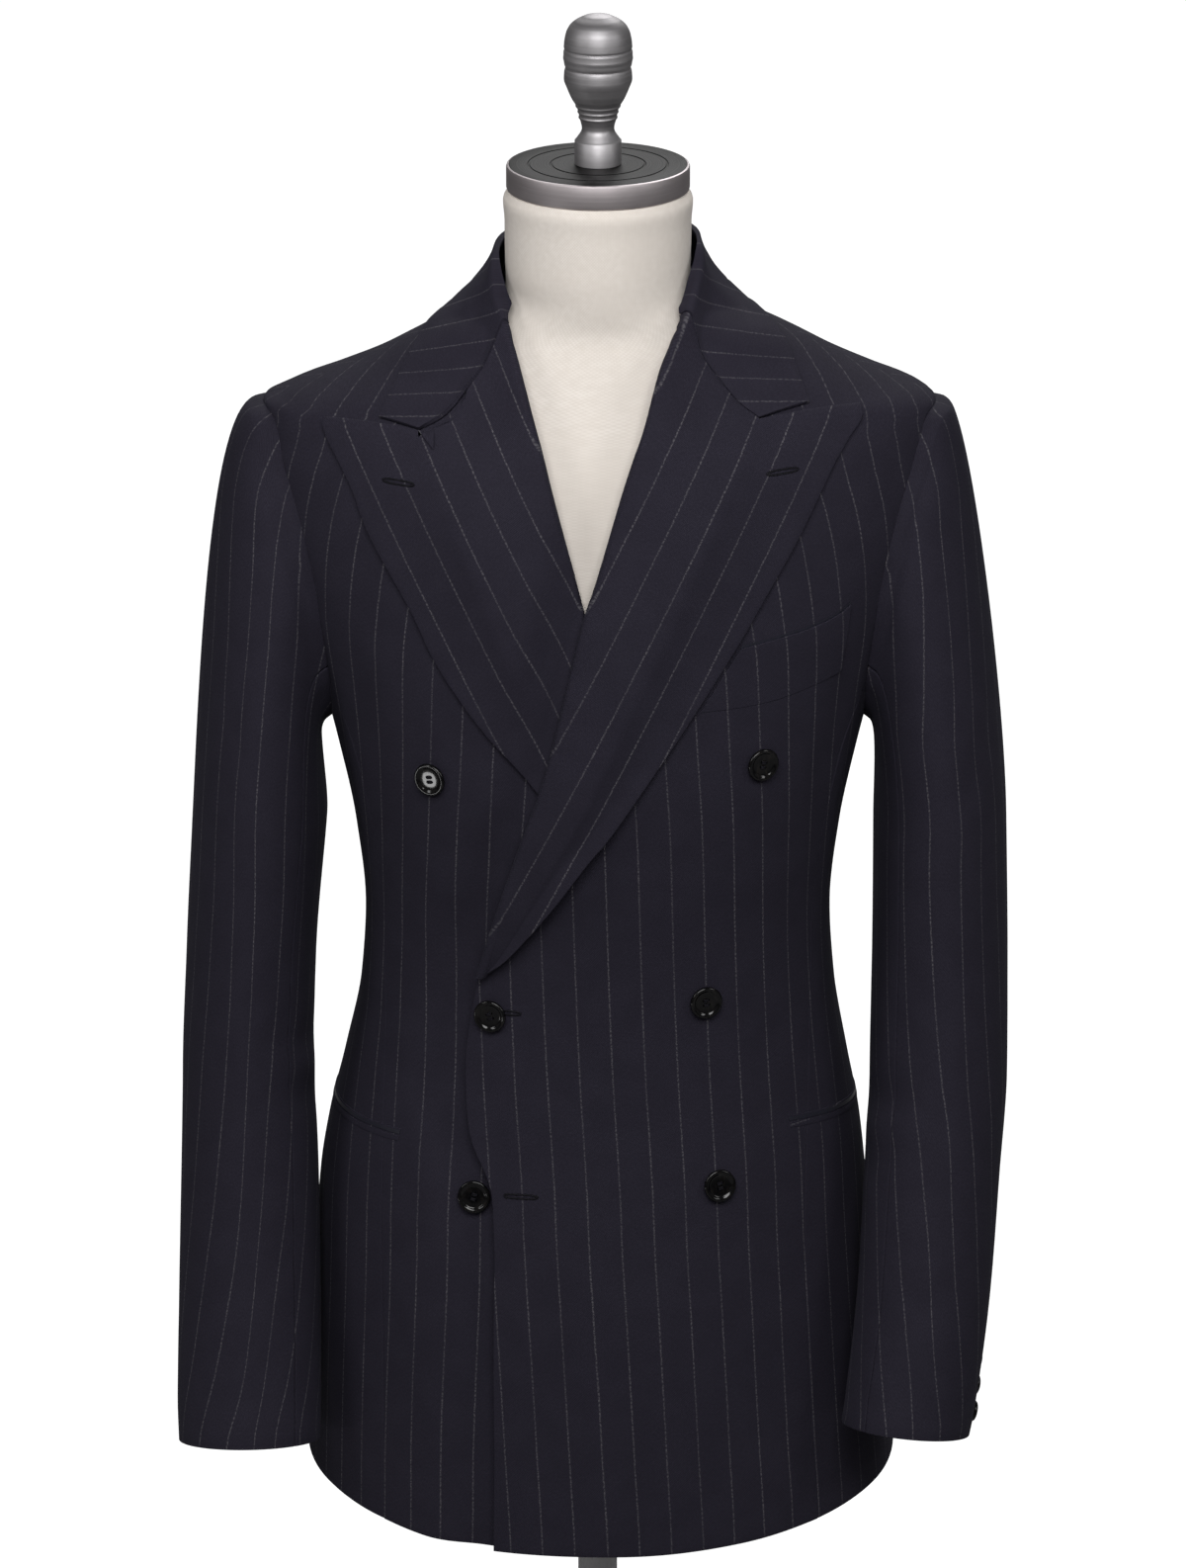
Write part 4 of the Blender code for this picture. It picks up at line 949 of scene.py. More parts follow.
for side, word, _, _ in SIDES:
    gap = seam_gap(side)
    shoulder = through([(90, NECK_HEIGHT), (90, SHOULDER_HEIGHT)], steps(30, 0.4))
    armhole = through(ARMHOLE_BACK[::-1], steps(36, 0.25))
    outer = shoulder + armhole[1:] + through(seam_points(1), LOWER)[1:]
    outer = pulled([Vector((p[0] * side, p[1])) for p in outer], gap)
    low = hem(180)
    stretch = (BACK_NECK_HEIGHT - low) / (NECK_HEIGHT - low)
    inner = [Vector((180 * side - gap * 1.5, low + (p[1] - low) * stretch)) for p in outer]
    across = steps(52, 0.12)
    top, bottom = ([inner[end].lerp(outer[end], u) for u in across] for end in (0, -1))
    rows = coons(top, bottom, inner, outer, across)
    cuts = each(rows, lambda p: (way_round(180 * side, p[1]) - way_round(*p), p[1]))
    folds = each(cuts, lambda cut: swell((abs(cut[0]), cut[1]), BACK_BENDS[word]))
    solid = each(each(rows, lambda p: on_body(*p)), lambda p: p + pad_rise(p))
    cloth(f"back_{word}", solid, cuts, bends=folds, lined=True)

# ---- pockets --------------------------------------------------------------------------------------
# A slanted welt on the left breast, and a jetted pocket without a flap on each side at the hip: two narrow
# lips of the same wool either side of a slit. A dark strip of lining along each opening is painted shade.

# How far the welt's face lies off the front at its lower and its upper edge, and its thickness
WELT_LOW, WELT_HIGH, WELT_WALL = 0.0003, 0.0016, 0.001
LIP_OUT, LIP_WALL, LIP_ROLL = 0.0003, 0.0005, 0.0001
# How far the dark strip of painted shade along a pocket's opening lies off the body, its width, and its rise
SHADOW_STRIP_OUT, SHADOW_STRIP_WIDE, SHADOW_STRIP_RISE = 0.0004, 0.0022, 0.0006
# The breast pocket's welt, upper and lower line: x, height
WELT_TOP = ((0.085, 0.8415), (0.112, 0.846), (0.127, 0.849), (0.143, 0.854), (0.151, 0.859))
WELT_BOTTOM = ((0.0605, 0.8035), (0.094, 0.805), (0.11, 0.807), (0.129, 0.811), (0.146, 0.8155))
# The two lips of each waist pocket: name, lower height, upper height
POCKET_LIPS = (("upper", 0.5216, 0.5250), ("lower", 0.5170, 0.5204))
POCKET_ANGLES = (46, 97)
POCKET_TILT = {1: (0.0065, -0.008), -1: (-0.002, -0.006)}  # rise of a waist pocket's front and back end


def painted_pocket_shadow(word, line, above):
    """A dark strip of lining along the opening of a pocket, painted shade of the gap behind its edge."""
    line = [(angle, height + above) for angle, height in line]
    rows = [
        [body_point(angle, height + step * SHADOW_STRIP_WIDE / 2, SHADOW_STRIP_OUT) for angle, height in line]
        for step in (-1, 0, 1)
    ]
    shape = grid(rows, [[(way_round(*p), point.z) for p, point in zip(line, row)] for row in rows])
    turn_out(shape, CORE)
    linked(f"painted_pocket_shadow_{word}", shape, "pinstripe_wool", None, lining)


across, downward = steps(40, 0.4), steps(24, 0.4)
top, bottom = (through([(front_angle(x, h), h) for x, h in side], across) for side in (WELT_TOP, WELT_BOTTOM))
# A dark strip just above the welt's upper edge: painted shadow of the pocket's mouth
painted_pocket_shadow("breast", top, 0.0005)
rows = [[a.lerp(b, v) for a, b in zip(top, bottom)] for v in downward]
outs = [WELT_HIGH + (WELT_LOW - WELT_HIGH) * v for v in downward]
solid = [[body_point(*p, out) for p in row] for out, row in zip(outs, rows)]
cloth("breast_welt", solid, striped(rows, STRIPE_LEFT), wall=WELT_WALL, edge=0.0004)

across, downward = steps(44, 0.4), steps(7, 0.4)
first, last = POCKET_ANGLES
for side, word, _, panel in SIDES:
    fore, aft = POCKET_TILT[side]
    for lip, low, high in POCKET_LIPS:
        rows, solid = [], []
        for v in downward:
            height = high + (low - high) * v + fore
            pairs = [((first + (last - first) * u) * side, height + (aft - fore) * u) for u in across]
            rows.append([Vector(pair) for pair in pairs])
            out = LIP_OUT + LIP_ROLL * math.sin(math.pi * v)
            solid.append([body_point(*p, out) for p in rows[-1]])
        cuts = each(rows, lambda p: (p[1] + PITCH / 4, way_round(*p)))
        cloth(f"pocket_{lip}_lip_{word}", solid, cuts, wall=LIP_WALL, edge=0.0003)
    # A dark strip between the lips: painted shadow of the slit
    painted_pocket_shadow(word, rows[0], (high - low) / 2 + SHADOW_STRIP_RISE)

# ---- sleeves --------------------------------------------------------------------------------------
# Two-piece sleeves set smoothly into the armholes: a wide top sleeve and a narrow under sleeve, which meet
# at a front seam and at the back seam that carries the cuff buttons. They hang empty and lean forward at
# the elbow.
SLEEVE_SEAM = 0.0009  # between an armhole and its sleeve
# Sleeve rings from the biceps to the cuff: height, centre_x (away from the body), centre_y, half_width,
# half_depth, angle of the back seam
SLEEVE_RIGHT = (
    (0.7, 0.2085, -0.003, 0.0415, 0.075, 244),
    (0.612, 0.215, -0.009, 0.0402, 0.068, 250),
    (0.538, 0.2175, -0.019, 0.041, 0.062, 257),
    (0.477, 0.217, -0.033, 0.0428, 0.057, 264),
    (0.403, 0.2172, -0.056, 0.0442, 0.051, 274),
    (0.34, 0.2175, -0.08, 0.0448, 0.046, 284),
    (0.317, 0.217, -0.092, 0.0442, 0.044, 287),
)
SLEEVE_LEFT = (
    (0.7, 0.211, -0.003, 0.041, 0.075, 244),
    (0.614, 0.212, -0.013, 0.042, 0.068, 255),
    (0.541, 0.2115, -0.03, 0.0427, 0.062, 272),
    (0.483, 0.2075, -0.052, 0.0421, 0.057, 290),
    (0.416, 0.2025, -0.08, 0.0412, 0.051, 310),
    (0.35, 0.1935, -0.108, 0.0402, 0.046, 328),
    (0.335, 0.1905, -0.116, 0.0397, 0.044, 331),
)
FRONT_SEAM_ANGLE = 132  # of each sleeve, towards the inner arm
ARMHOLE_CENTRE = Vector((0.182, 0.0, 0.865))
SLEEVE_OUT = Vector((0.98, 0.0, -0.16))
CROWN = {"right": 0.30, "left": 0.14}  # how full each sleeve head is
# What is turned in at the armhole: out from the body, and along the sleeve
ALLOWANCE = ((-0.0034, -0.0045), (-0.0027, 0.0003), (-0.0005, 0.0006))
SLEEVE_BENDS = {
    "left": (
        (0.095, 0.545, 0.165, 0.528, 0.009, -0.0015), (0.1, 0.528, 0.165, 0.508, 0.008, 0.0012),
        (0.105, 0.512, 0.16, 0.488, 0.009, -0.0013), (0.04, 0.77, 0.105, 0.715, 0.013, -0.0012),
        (0.03, 0.445, 0.12, 0.405, 0.012, -0.001), (-0.12, 0.56, -0.05, 0.53, 0.012, 0.001),
    ),
    "right": (
        (0.1, 0.575, 0.17, 0.56, 0.009, -0.0014), (0.105, 0.556, 0.165, 0.54, 0.008, 0.0011),
        (0.11, 0.54, 0.165, 0.518, 0.009, -0.0013), (0.045, 0.79, 0.1, 0.742, 0.012, -0.0011),
        (0.05, 0.462, 0.12, 0.43, 0.012, -0.0009), (-0.12, 0.58, -0.06, 0.552, 0.012, 0.001),
    ),
}
LEVEL, GUIDE = 0.001, 6  # metres between levels, and degrees between guide lines
SEAM_CREASE = {"right": 0.0016, "left": 0.0024}  # how deep the cloth turns in along the armhole seam
BELOW_CUFF = 40  # levels at which a slanting cuff may already have ended
# The cloth lies flatter at the outer side of each arm: how much of it that takes, and from where to where
FLATTER = {"right": (0.0110, 0.098, 0.068), "left": (0.0050, 0.085, 0.060)}
# Where one stripe of each sleeve lies, forward of the crown: height, way
SLEEVE_LEAN = {
    "right": Table([
        (0.31, 0.076), (0.335, 0.068), (0.37, 0.056), (0.4, 0.0484), (0.45, 0.037), (0.485, 0.0304),
        (0.525, 0.024), (0.568, 0.0175), (0.62, 0.0114), (0.676, 0.0073), (0.76, 0.006), (0.82, 0.009),
        (0.87, 0.018), (0.9, 0.0265), (0.92, 0.032), (0.945, 0.0357), (0.965, 0.039),
    ]),
    "left": Table([
        (0.346, 0.0752), (0.413, 0.052), (0.501, 0.0284), (0.555, 0.0142), (0.624, 0.0042), (0.7, -0.003),
        (0.76, -0.0045), (0.8, 0.002), (0.861, 0.015), (0.9, 0.024), (0.92, 0.03),
        (0.94, 0.0335), (0.96, 0.038),
    ]),
}

LOOP_SHARES = even(40)
HEAD_STEPS, ARM_STEPS = 36, 62  # of a lengthwise line, from armhole to biceps and on to the cuff
TOP_COLUMNS, UNDER_COLUMNS = 60, 34
# A sleeve leaves the armhole level for a short way, longest at the shoulder, and drops a little at its crown
LEVEL_WAY, LEVEL_MORE, CROWN_DROP, RADIAL = 0.0035, 0.005, 0.19, 0.6
UNDER_FULLNESS, ARRIVING = 0.24, 0.9  # how far the line swings out under the arm and where it joins the rings
RISE_FIRST, RISE_LAST = 2, 10  # points between which the pad's rise dies out
CREASE_ROW, CREASE_ROWS = 5, 2.5  # where the seam's crease is deepest, and half its width
CREASE_GROWS, CREASE_TURN, CREASE_ENDS = 70, 95, 30  # degrees from the crown over which it grows and ends
SLEEVE_SEAM_TURN = 0.36  # half of the gap at a sleeve's two seams, in degrees
SLEEVE_CORE = Vector((0.212, -0.02, 0.6))


def swapped(point, side):
    """A point turned round to the other side, or not."""
    return Vector((point.x * side, point.y, point.z))


def armhole_stretch(points, side):
    """A stretch of one side's armhole, turned round to the left."""
    return [swapped(on_body(angle * side, height), side) for angle, height in through(points, LOOP_SHARES)]


def armhole_loops(side):
    """One armhole from the shoulder down the front to under the arm, and from there up the back."""
    stretches = (ARMHOLE_FRONT, ARMHOLE_UNDER, ARMHOLE_BACK)
    front, under, back = (armhole_stretch(points, side) for points in stretches)
    half = len(under) // 2
    return front + under[1 : half + 1], under[half:] + back[1:]


ARMHOLES = {side: armhole_loops(side) for side in (1, -1)}


def along(points, share):
    """The point at this share of the length of a line of points."""
    lengths = way_along(points)
    wanted = share * lengths[-1]
    i = min(sum(length <= wanted for length in lengths) - 1, len(points) - 2)
    return points[i].lerp(points[i + 1], (wanted - lengths[i]) / (lengths[i + 1] - lengths[i]))


def armhole_point(turn, side):
    """An armhole at a turn round the sleeve: 0 at the shoulder, 90 in front, 180 under the arm."""
    down, up = ARMHOLES[side]
    turn %= 360
    return along(down, turn / 180) if turn < 180 else along(up, (turn - 180) / 180)


def leaving(start, arrive, begin, end, t):
    """A smooth way between two points that leaves the first and reaches the second with given slopes."""
    return (
        start * (1 + 2 * t) * (1 - t) ** 2 + arrive * t * t * (3 - 2 * t)
        + begin * t * (1 - t) ** 2 - end * t * t * (1 - t)
    )


def sleeve(word, side, rings):
    table = Table(rings)
    top, end = rings[0][0], rings[-1][0]

    def centre(height):
        return Vector((*table.at(height)[:2], height))

    def ring_point(turn, height):
        downward = (centre(height - 0.01) - centre(height + 0.01)).normalized()
        sideways = (Vector((1, 0, 0)) - downward * downward.x).normalized()
        forward = downward.cross(sideways)
        half_width, half_depth = table.at(height)[2:4]
        angle = math.radians(turn)
        across, ahead = half_width * math.cos(angle), half_depth * math.sin(angle)
        return centre(height) + sideways * across + forward * ahead

    def way_out(turn):
        """The direction in which the sleeve leaves the armhole."""
        radial = armhole_point(turn, side) - ARMHOLE_CENTRE
        radial = (radial - SLEEVE_OUT * radial.dot(SLEEVE_OUT)).normalized()
        downward = Vector((0.0, 0.0, -CROWN_DROP * math.cos(math.radians(turn / 2)) ** 6))
        radial *= RADIAL * abs(math.sin(math.radians(turn / 2)))
        return (SLEEVE_OUT.normalized() + radial + downward).normalized()

    def lengthwise(turn_at):
        """One lengthwise line of the sleeve; turn_at gives its turn at a height."""
        turn = turn_at(top)
        half = math.radians(turn / 2)
        leaves = way_out(turn)
        edge = armhole_point(turn, side)
        outward = swapped(distance_to_body(swapped(edge, side))[1], side)
        start = edge + leaves * SLEEVE_SEAM + leaves * (LEVEL_WAY + LEVEL_MORE * math.cos(half) ** 4)
        arrive = ring_point(turn, top)
        reach = (arrive - start).length
        begin = leaves * reach * (CROWN[word] + UNDER_FULLNESS * math.sin(half) ** 2)
        end_way = (ring_point(turn, top - 0.01) - arrive).normalized() * reach * ARRIVING
        # The allowance turned in at the armhole, and the head of the sleeve
        line = [edge + outward * rise + leaves * ahead for rise, ahead in ALLOWANCE] + [start]
        line += [leaving(start, arrive, begin, end_way, t) for t in even(HEAD_STEPS)[1:]]
        high = pad_rise(swapped(edge, side))
        for i, point in enumerate(line[: RISE_LAST + 1]):
            point += high * (1 - smooth_step(max(i - RISE_FIRST, 0) / (RISE_LAST - RISE_FIRST)))
        line = [(point, turn) for point in line]
        for share in steps(ARM_STEPS, 0.8)[1:]:
            height = top + (end - top) * share
            line.append((ring_point(turn_at(height), height), turn_at(height)))
        return [(swapped(point, side), turn) for point, turn in line]

    levels = int((lengthwise(lambda h: 0.0)[3][0].z - end) / LEVEL)
    # The sleeve's outline at each level from the crown to the front, and to the back, with its lengths
    outlines = {}
    for hand in (1, -1):
        crossings = []
        for turn in range(0, 181, GUIDE):
            guide = [point for point, _ in lengthwise(lambda h: turn * hand)[3:]]
            crossings.append({level: guide[-1] for level in range(BELOW_CUFF)})
            for a, b in zip(guide, guide[1:]):
                low, high = (b.z - end) / LEVEL, (a.z - end) / LEVEL
                for level in range(math.ceil(low - 0.001), math.floor(high) + 1):
                    crossings[-1][level] = a.lerp(b, (high - level) / max(high - low, 0.001))
        for level in range(levels + 1):
            line = [crossing[level] for crossing in crossings if level in crossing]
            outlines[hand, level] = line, way_along(line)

    def way_from_crown(point, turn):
        hand = 1 if turn >= 0 else -1
        column = min(abs(turn) / GUIDE, 180 / GUIDE - 0.001)
        rise = min(max((point.z - end) / LEVEL, 0.0), levels - 0.001)
        found = []
        for level in (int(rise), int(rise) + 1):
            line, lengths = outlines[hand, level]
            i = min(int(column), len(line) - 1)
            if i + 1 < len(line):
                found.append(lengths[i] + (lengths[i + 1] - lengths[i]) * (column - i))
            else:
                found.append(lengths[i] + (point - line[i]).xy.length)
        return hand * (found[0] + (found[1] - found[0]) * (rise - int(rise)))

    def piece(kind, columns, first, last):
        lines = [lengthwise(lambda h: first(h) + (last(h) - first(h)) * share) for share in steps(columns)]
        rows = [list(row) for row in zip(*lines)]
        less, begins, ends = FLATTER[word]
        cuts, folds = [], []
        for i, row in enumerate(rows):
            cuts.append([])
            folds.append([])
            off_crease = (i - CREASE_ROW) / CREASE_ROWS
            deep = SEAM_CREASE[word] * math.exp(-(off_crease ** 2)) if i > 2 else 0.0
            for point, turn in row:
                way = way_from_crown(point, turn if turn <= 180 else turn - 360)
                if first(end) > 0 and turn > 180:
                    level = min(max(int((point.z - end) / LEVEL), 0), levels)
                    way += outlines[1, level][1][-1] + outlines[-1, level][1][-1]
                way -= less * smooth_step((begins - way) / (begins - ends))
                cuts[-1].append((way + SLEEVE_LEAN[word].at(point.z)[0] + PITCH / 2, point.z))
                deep_here = deep * smooth_step(turn / CREASE_GROWS)
                deep_here *= 1 - smooth_step((turn - CREASE_TURN) / CREASE_ENDS)
                folds[-1].append(swell((way, point.z), SLEEVE_BENDS[word]) - deep_here)
        solid = each(rows, lambda pair: pair[0])
        core = swapped(SLEEVE_CORE, side)
        return cloth(f"{kind}_sleeve_{word}", solid, cuts, core, bends=folds, lined=True)

    def back_seam(height):
        return table.at(height)[4]

    gap = SLEEVE_SEAM_TURN
    front_seam = FRONT_SEAM_ANGLE
    top_sleeve = piece("top", TOP_COLUMNS, lambda h: back_seam(h) - 360 + gap, lambda h: front_seam - gap)
    piece("under", UNDER_COLUMNS, lambda h: front_seam + gap, lambda h: back_seam(h) - gap)
    return ring_point, top_sleeve


ring_right, top_sleeve_right = sleeve("right", -1, SLEEVE_RIGHT)
ring_left, top_sleeve_left = sleeve("left", 1, SLEEVE_LEFT)

# ---- lapels ---------------------------------------------------------------------------------------
# Peaked lapels, the facing turned out along a soft roll, with the stripe cut parallel to the outer edge. Each
# lies on its front, and the right one passes under the left one where the fronts cross.
LAYER = 0.0012  # gap between a panel and the lapel that lies on it
# The gorge seam from the fold to the notch, the collar's tip and the lapel's peak: x, y, height
GORGE_LEFT = (
    (0.054, -0.048, 1.031), (0.06, -0.06, 1.009), (0.07, -0.066, 0.995),
    (0.082, -0.072, 0.982), (0.095, -0.076, 0.973),
)
GORGE_RIGHT = (
    (-0.056, -0.046, 1.025), (-0.066, -0.058, 1.003), (-0.077, -0.066, 0.99),
    (-0.09, -0.075, 0.976), (-0.106, -0.078, 0.967),
)
PEAK_LEFT = (0.155, -0.05, 0.974)
PEAK_RIGHT = (-0.162, -0.054, 0.967)

# Each lapel's outer edge from the peak down to where it turns into the front edge: x, height
LAPEL_EDGE_LEFT = (
    (0.155, 0.974), (0.146, 0.956), (0.132, 0.932), (0.106, 0.884), (0.082, 0.843),
    (0.052, 0.796), (0.02, 0.748), (-0.021, 0.69), (-0.05, 0.649), (-0.064, 0.634),
)
LAPEL_EDGE_RIGHT = (
    (-0.162, 0.967), (-0.148, 0.936), (-0.137, 0.909), (-0.112, 0.865), (-0.097, 0.834),
    (-0.08, 0.808), (-0.059, 0.781), (-0.02, 0.732), (0.02, 0.684), (0.048, 0.646),
)

GORGE_GAP = Vector((0.0, -0.0003, -0.0004))  # half of the gap between a lapel and the collar
# The foot of a fold: how far out it lies, how much more near the neck, and the heights between
FOOT_LOW, FOOT_MORE, FOOT_FROM, FOOT_OVER = -0.0014, 0.0038, 0.93, 0.075
ROLL_REACH, ROLL_SHARE, ROLL_STEPS = 0.003, 0.45, 5  # how far the roll of a fold reaches each way


def foot_out(height):
    """How far the fold's inner edge lies outside the body; lower down it is beside the front's edge."""
    return FOOT_LOW + FOOT_MORE * smooth_step((height - FOOT_FROM) / FOOT_OVER)


def laid(point, share, sinks, reach, gap):
    """A point of a lapel or collar on the panels under it; share is 0 at the fold and 1 at the outer edge.

    The greater reach is, the nearer to its outer edge the leaf stands off the panels.
    """
    distance, _ = distance_to_body(point)
    under = sink(point) if sinks else 0.0
    lift = max(distance - gap, 0.0) * (1 - share ** reach) * (1 - under)
    return placed(point, gap + lift - OVERLAP_SINK * under)


def rolled_over(leaf, stand_columns, sinks):
    """A row of the leaf with the cloth that turns under at its fold in a soft roll, down to its foot."""
    fold = leaf[0]
    foot = placed(fold, 0.0)
    under = sink(fold) if sinks else 0.0
    foot = placed(foot, foot_out(foot.z) - OVERLAP_SINK * under)
    reach = min(ROLL_REACH, (foot - fold).length * ROLL_SHARE, (leaf[-1] - fold).length * ROLL_SHARE)
    before = fold + (foot - fold).normalized() * reach
    after = fold + (leaf[1] - fold).normalized() * reach
    stand = [foot.lerp(before, i / stand_columns) for i in range(stand_columns)]
    roll = [before * (1 - t) ** 2 + fold * 2 * t * (1 - t) + after * t * t for t in even(ROLL_STEPS)]
    rest = [p for p in leaf[1:] if (p - fold).dot(leaf[1] - fold) > reach * 1.2 * (leaf[1] - fold).length]
    spare = len(leaf) - 1 - len(rest)
    filler = [after.lerp(rest[0], (i + 1) / (spare + 1)) for i in range(spare)]
    return [*stand, *roll, *filler, *rest]


LAPEL_LIFT = 0.0062  # how far the lower part of the left lapel's edge stands off the front
LIFT_HEIGHT, LIFT_SPREAD = 0.69, 0.062  # where, and over what height
LAPEL_REACH = 1.7
LAPEL_STRIPE = 0.0136  # from the outer edge to the first stripe
LAPEL_SLOPE = (0.894, 0.447)  # the stripes run up and outwards, parallel to the upper part of the edge


def lapel(word, side, fold, gorge, peak, edge):
    """One lapel from its fold to its outer edge, with the roll that turns under at the fold."""
    sinks = side < 0
    shares, across = steps(96, 0.3), even(32)
    folds = through(fold[2:], shares)
    edges = [on_body(*p) for p in through([(front_angle(x, h), h) for x, h in edge], shares)]
    top = through(gorge, even(18)) + [Vector(gorge[-1]).lerp(Vector(peak), u) for u in even(14)[1:]]
    folds[0], edges[0] = top[0], top[-1]
    bottom = [folds[-1].lerp(edges[-1], u) for u in across]
    rows = []
    for row in coons(top, bottom, folds, edges, across):
        leaf = []
        for p, u in zip(row, across):
            lift = 0.0 if sinks else LAPEL_LIFT * u * math.exp(-(((p.z - LIFT_HEIGHT) / LIFT_SPREAD) ** 2))
            leaf.append(laid(p, u, sinks, LAPEL_REACH, LAYER + lift))
        rows.append(rolled_over(leaf, 3, sinks))
    rows[0] = [p + GORGE_GAP for p in rows[0]]
    beside = Vector((LAPEL_SLOPE[0] * side, 0.0, -LAPEL_SLOPE[1]))
    onward = Vector((LAPEL_SLOPE[1] * side, 0.0, LAPEL_SLOPE[0]))
    middle = Vector((edge[2][0], 0.0, edge[2][1]))
    cuts = each(rows, lambda p: ((middle - p).dot(beside) - LAPEL_STRIPE + PITCH / 2, p.dot(onward)))
    return cloth(f"lapel_{word}", rows, cuts, grows_out=True)


lapel_left = lapel("left", 1, FOLD_LEFT, GORGE_LEFT, PEAK_LEFT, LAPEL_EDGE_LEFT)
lapel_right = lapel("right", -1, FOLD_RIGHT, GORGE_RIGHT, PEAK_RIGHT, LAPEL_EDGE_RIGHT)

# ---- collar ---------------------------------------------------------------------------------------
# One collar that stands round the neck and falls over its fold on to the shoulders and back. The stripes run
# across its width, and it meets each lapel at the gorge seam.
COLLAR_RISE = 0.0007
COLLAR_HOLLOW = 0.0045  # the dip between its fold and its edge
COLLAR_STRIPES = 0.24  # cloth from each tip of the collar to its middle
SLANTED_SHARE = 0.25  # of the collar's length, where its stripes lie level as seen from in front
SLANT_PACE = (1.25, 1.5)  # cloth for each length upwards there, at the fold and at the edge
# The collar round the neck: fold x, y, height and outer edge x, y, height
COLLAR = (
    (-0.056, -0.046, 1.025, -0.13, -0.066, 0.971),
    (-0.062, -0.022, 1.04, -0.11, -0.024, 1.003),
    (-0.062, -0.002, 1.053, -0.099, 0.004, 1.015),
    (-0.052, 0.037, 1.06, -0.072, 0.053, 1.011),
    (0.0, 0.064, 1.064, 0.0, 0.077, 1.006),
    (0.052, 0.037, 1.064, 0.074, 0.053, 1.014),
    (0.0605, -0.003, 1.061, 0.099, 0.003, 1.018),
    (0.061, -0.02, 1.05, 0.11, -0.026, 1.002),
    (0.054, -0.048, 1.031, 0.125, -0.06, 0.977),
)


def end_bows(gorge, tip):
    """How far one end of the collar, along the gorge seam and on to its tip, bows off a straight line."""
    line = through(gorge, even(18)) + [Vector(gorge[-1]).lerp(tip, u) for u in even(6)[1:]]
    return [p - line[0].lerp(line[-1], i / 24) for i, p in enumerate(line)]


COUNT, ACROSS = 150, 24  # columns along the collar and steps across it
END_PACE = 3.6  # how fast the bow of an end dies out along the collar
COLLAR_REACH, COLLAR_WIDE = 12, 0.09  # how near its edge it stands off, and its width on the cut
END_SLANT = (0.943, 0.333)  # up and back, across the slant of the stripes at its ends
shares = steps(COUNT, 0.3)
folds, edges = (through([row[cut] for row in COLLAR], shares) for cut in (slice(3), slice(3, 6)))
first, last = end_bows(GORGE_RIGHT, edges[0]), end_bows(GORGE_LEFT, edges[-1])
rows = []
for i, (fold, edge) in enumerate(zip(folds, edges)):
    near, far = (smooth_step(1 - END_PACE * n / COUNT) for n in (i, COUNT - i))
    row = []
    for k, share in enumerate(even(ACROSS)):
        point = fold.lerp(edge, share) + first[k] * near + last[k] * far
        dip = COLLAR_HOLLOW * math.sin(math.pi * share) * (1.5 - share * 4 / 3) * (1 - near - far)
        point -= distance_to_body(point)[1] * dip
        row.append(laid(point, share, False, COLLAR_REACH, LAYER + COLLAR_RISE * (1 - near - far)))
    rows.append(rolled_over(row, 8, False))


def slanting(point):
    """How far up a point lies, measured across the slant of the stripes at the collar's ends."""
    return END_SLANT[0] * point.z + END_SLANT[1] * point.y


FALL_FROM = 11  # the column at which the part that falls over its fold begins
middle = len(rows) // 2
slanted = round(COUNT * SLANTED_SHARE)
columns = []
for k, column in enumerate(zip(*rows)):
    share = min(max((k - FALL_FROM) / (len(rows[0]) - FALL_FROM - 1), 0.0), 1.0)
    pace = SLANT_PACE[0] + (SLANT_PACE[1] - SLANT_PACE[0]) * share
    halves = []
    for half, tip in ((column[: middle + 1], rows[0][-1]), (column[: middle - 1 : -1], rows[-1][-1])):
        ways = [pace * (slanting(p) - slanting(tip)) for p in half[: slanted + 1]]
        run = way_along(half[slanted:])
        rest = COLLAR_STRIPES - ways[-1]
        ways += [ways[-1] + rest * length / run[-1] for length in run[1:]]
        halves.append([(way + PITCH / 2, share * COLLAR_WIDE) for way in ways])
    columns.append(halves[0][:-1] + halves[1][::-1] if len(rows) % 2 else halves[0] + halves[1][::-1][1:])
cuts = [list(row) for row in zip(*columns)]
for end in (0, -1):
    rows[end] = [p - GORGE_GAP for p in rows[end]]
cloth("collar", rows, cuts, Vector((0.0, 0.0, 1.0)), grows_out=True)

# ---- buttonholes ----------------------------------------------------------------------------------
# Each is a slit bound with close purl stitches in navy silk twist: a plain one in each lapel, and those of
# the overlap with a round eye at the end near the edge.
thread, tree, shader = finish("navy_silk_twist", 0.70, Specular_IOR_Level=0.12)
ply = noise(tree, object_place(tree), 2600.0, 1.0)
silk = blended(tree, ranged(tree, ply, 0.35, 0.65), (0.0028, 0.0026, 0.0038), (0.0085, 0.0078, 0.0115))
dress(tree, shader, silk, None, (ply, 0.5, 0.0002))

HOLE_WIDE = 0.0024
PURL, PURL_FLAT = 0.00048, 1.5  # half of the cord's height, and how many times as wide it is
PURL_STITCHES, PURL_SIDES, PURL_KNOT = 60, 8, 0.16  # each second stitch is that share thicker
EYE_SHARE = 0.8  # the eye takes up the end of the hole beyond this share
# Buttonholes: name, x, height, length, tilt in degrees, how much wider the eye at the wearer's right end is
LAPEL_HOLES = (
    ("lapel_left", 0.1095, 0.9455, 0.0185, 4, 0.0), ("lapel_right", -0.1185, 0.9385, 0.0185, -3, 0.0),
)
FRONT_HOLES = (
    ("fastened", -0.0560, 0.6075, 0.0180, 0, 0.0008), ("lower", -0.0470, 0.4925, 0.0200, 0, 0.0010),
)


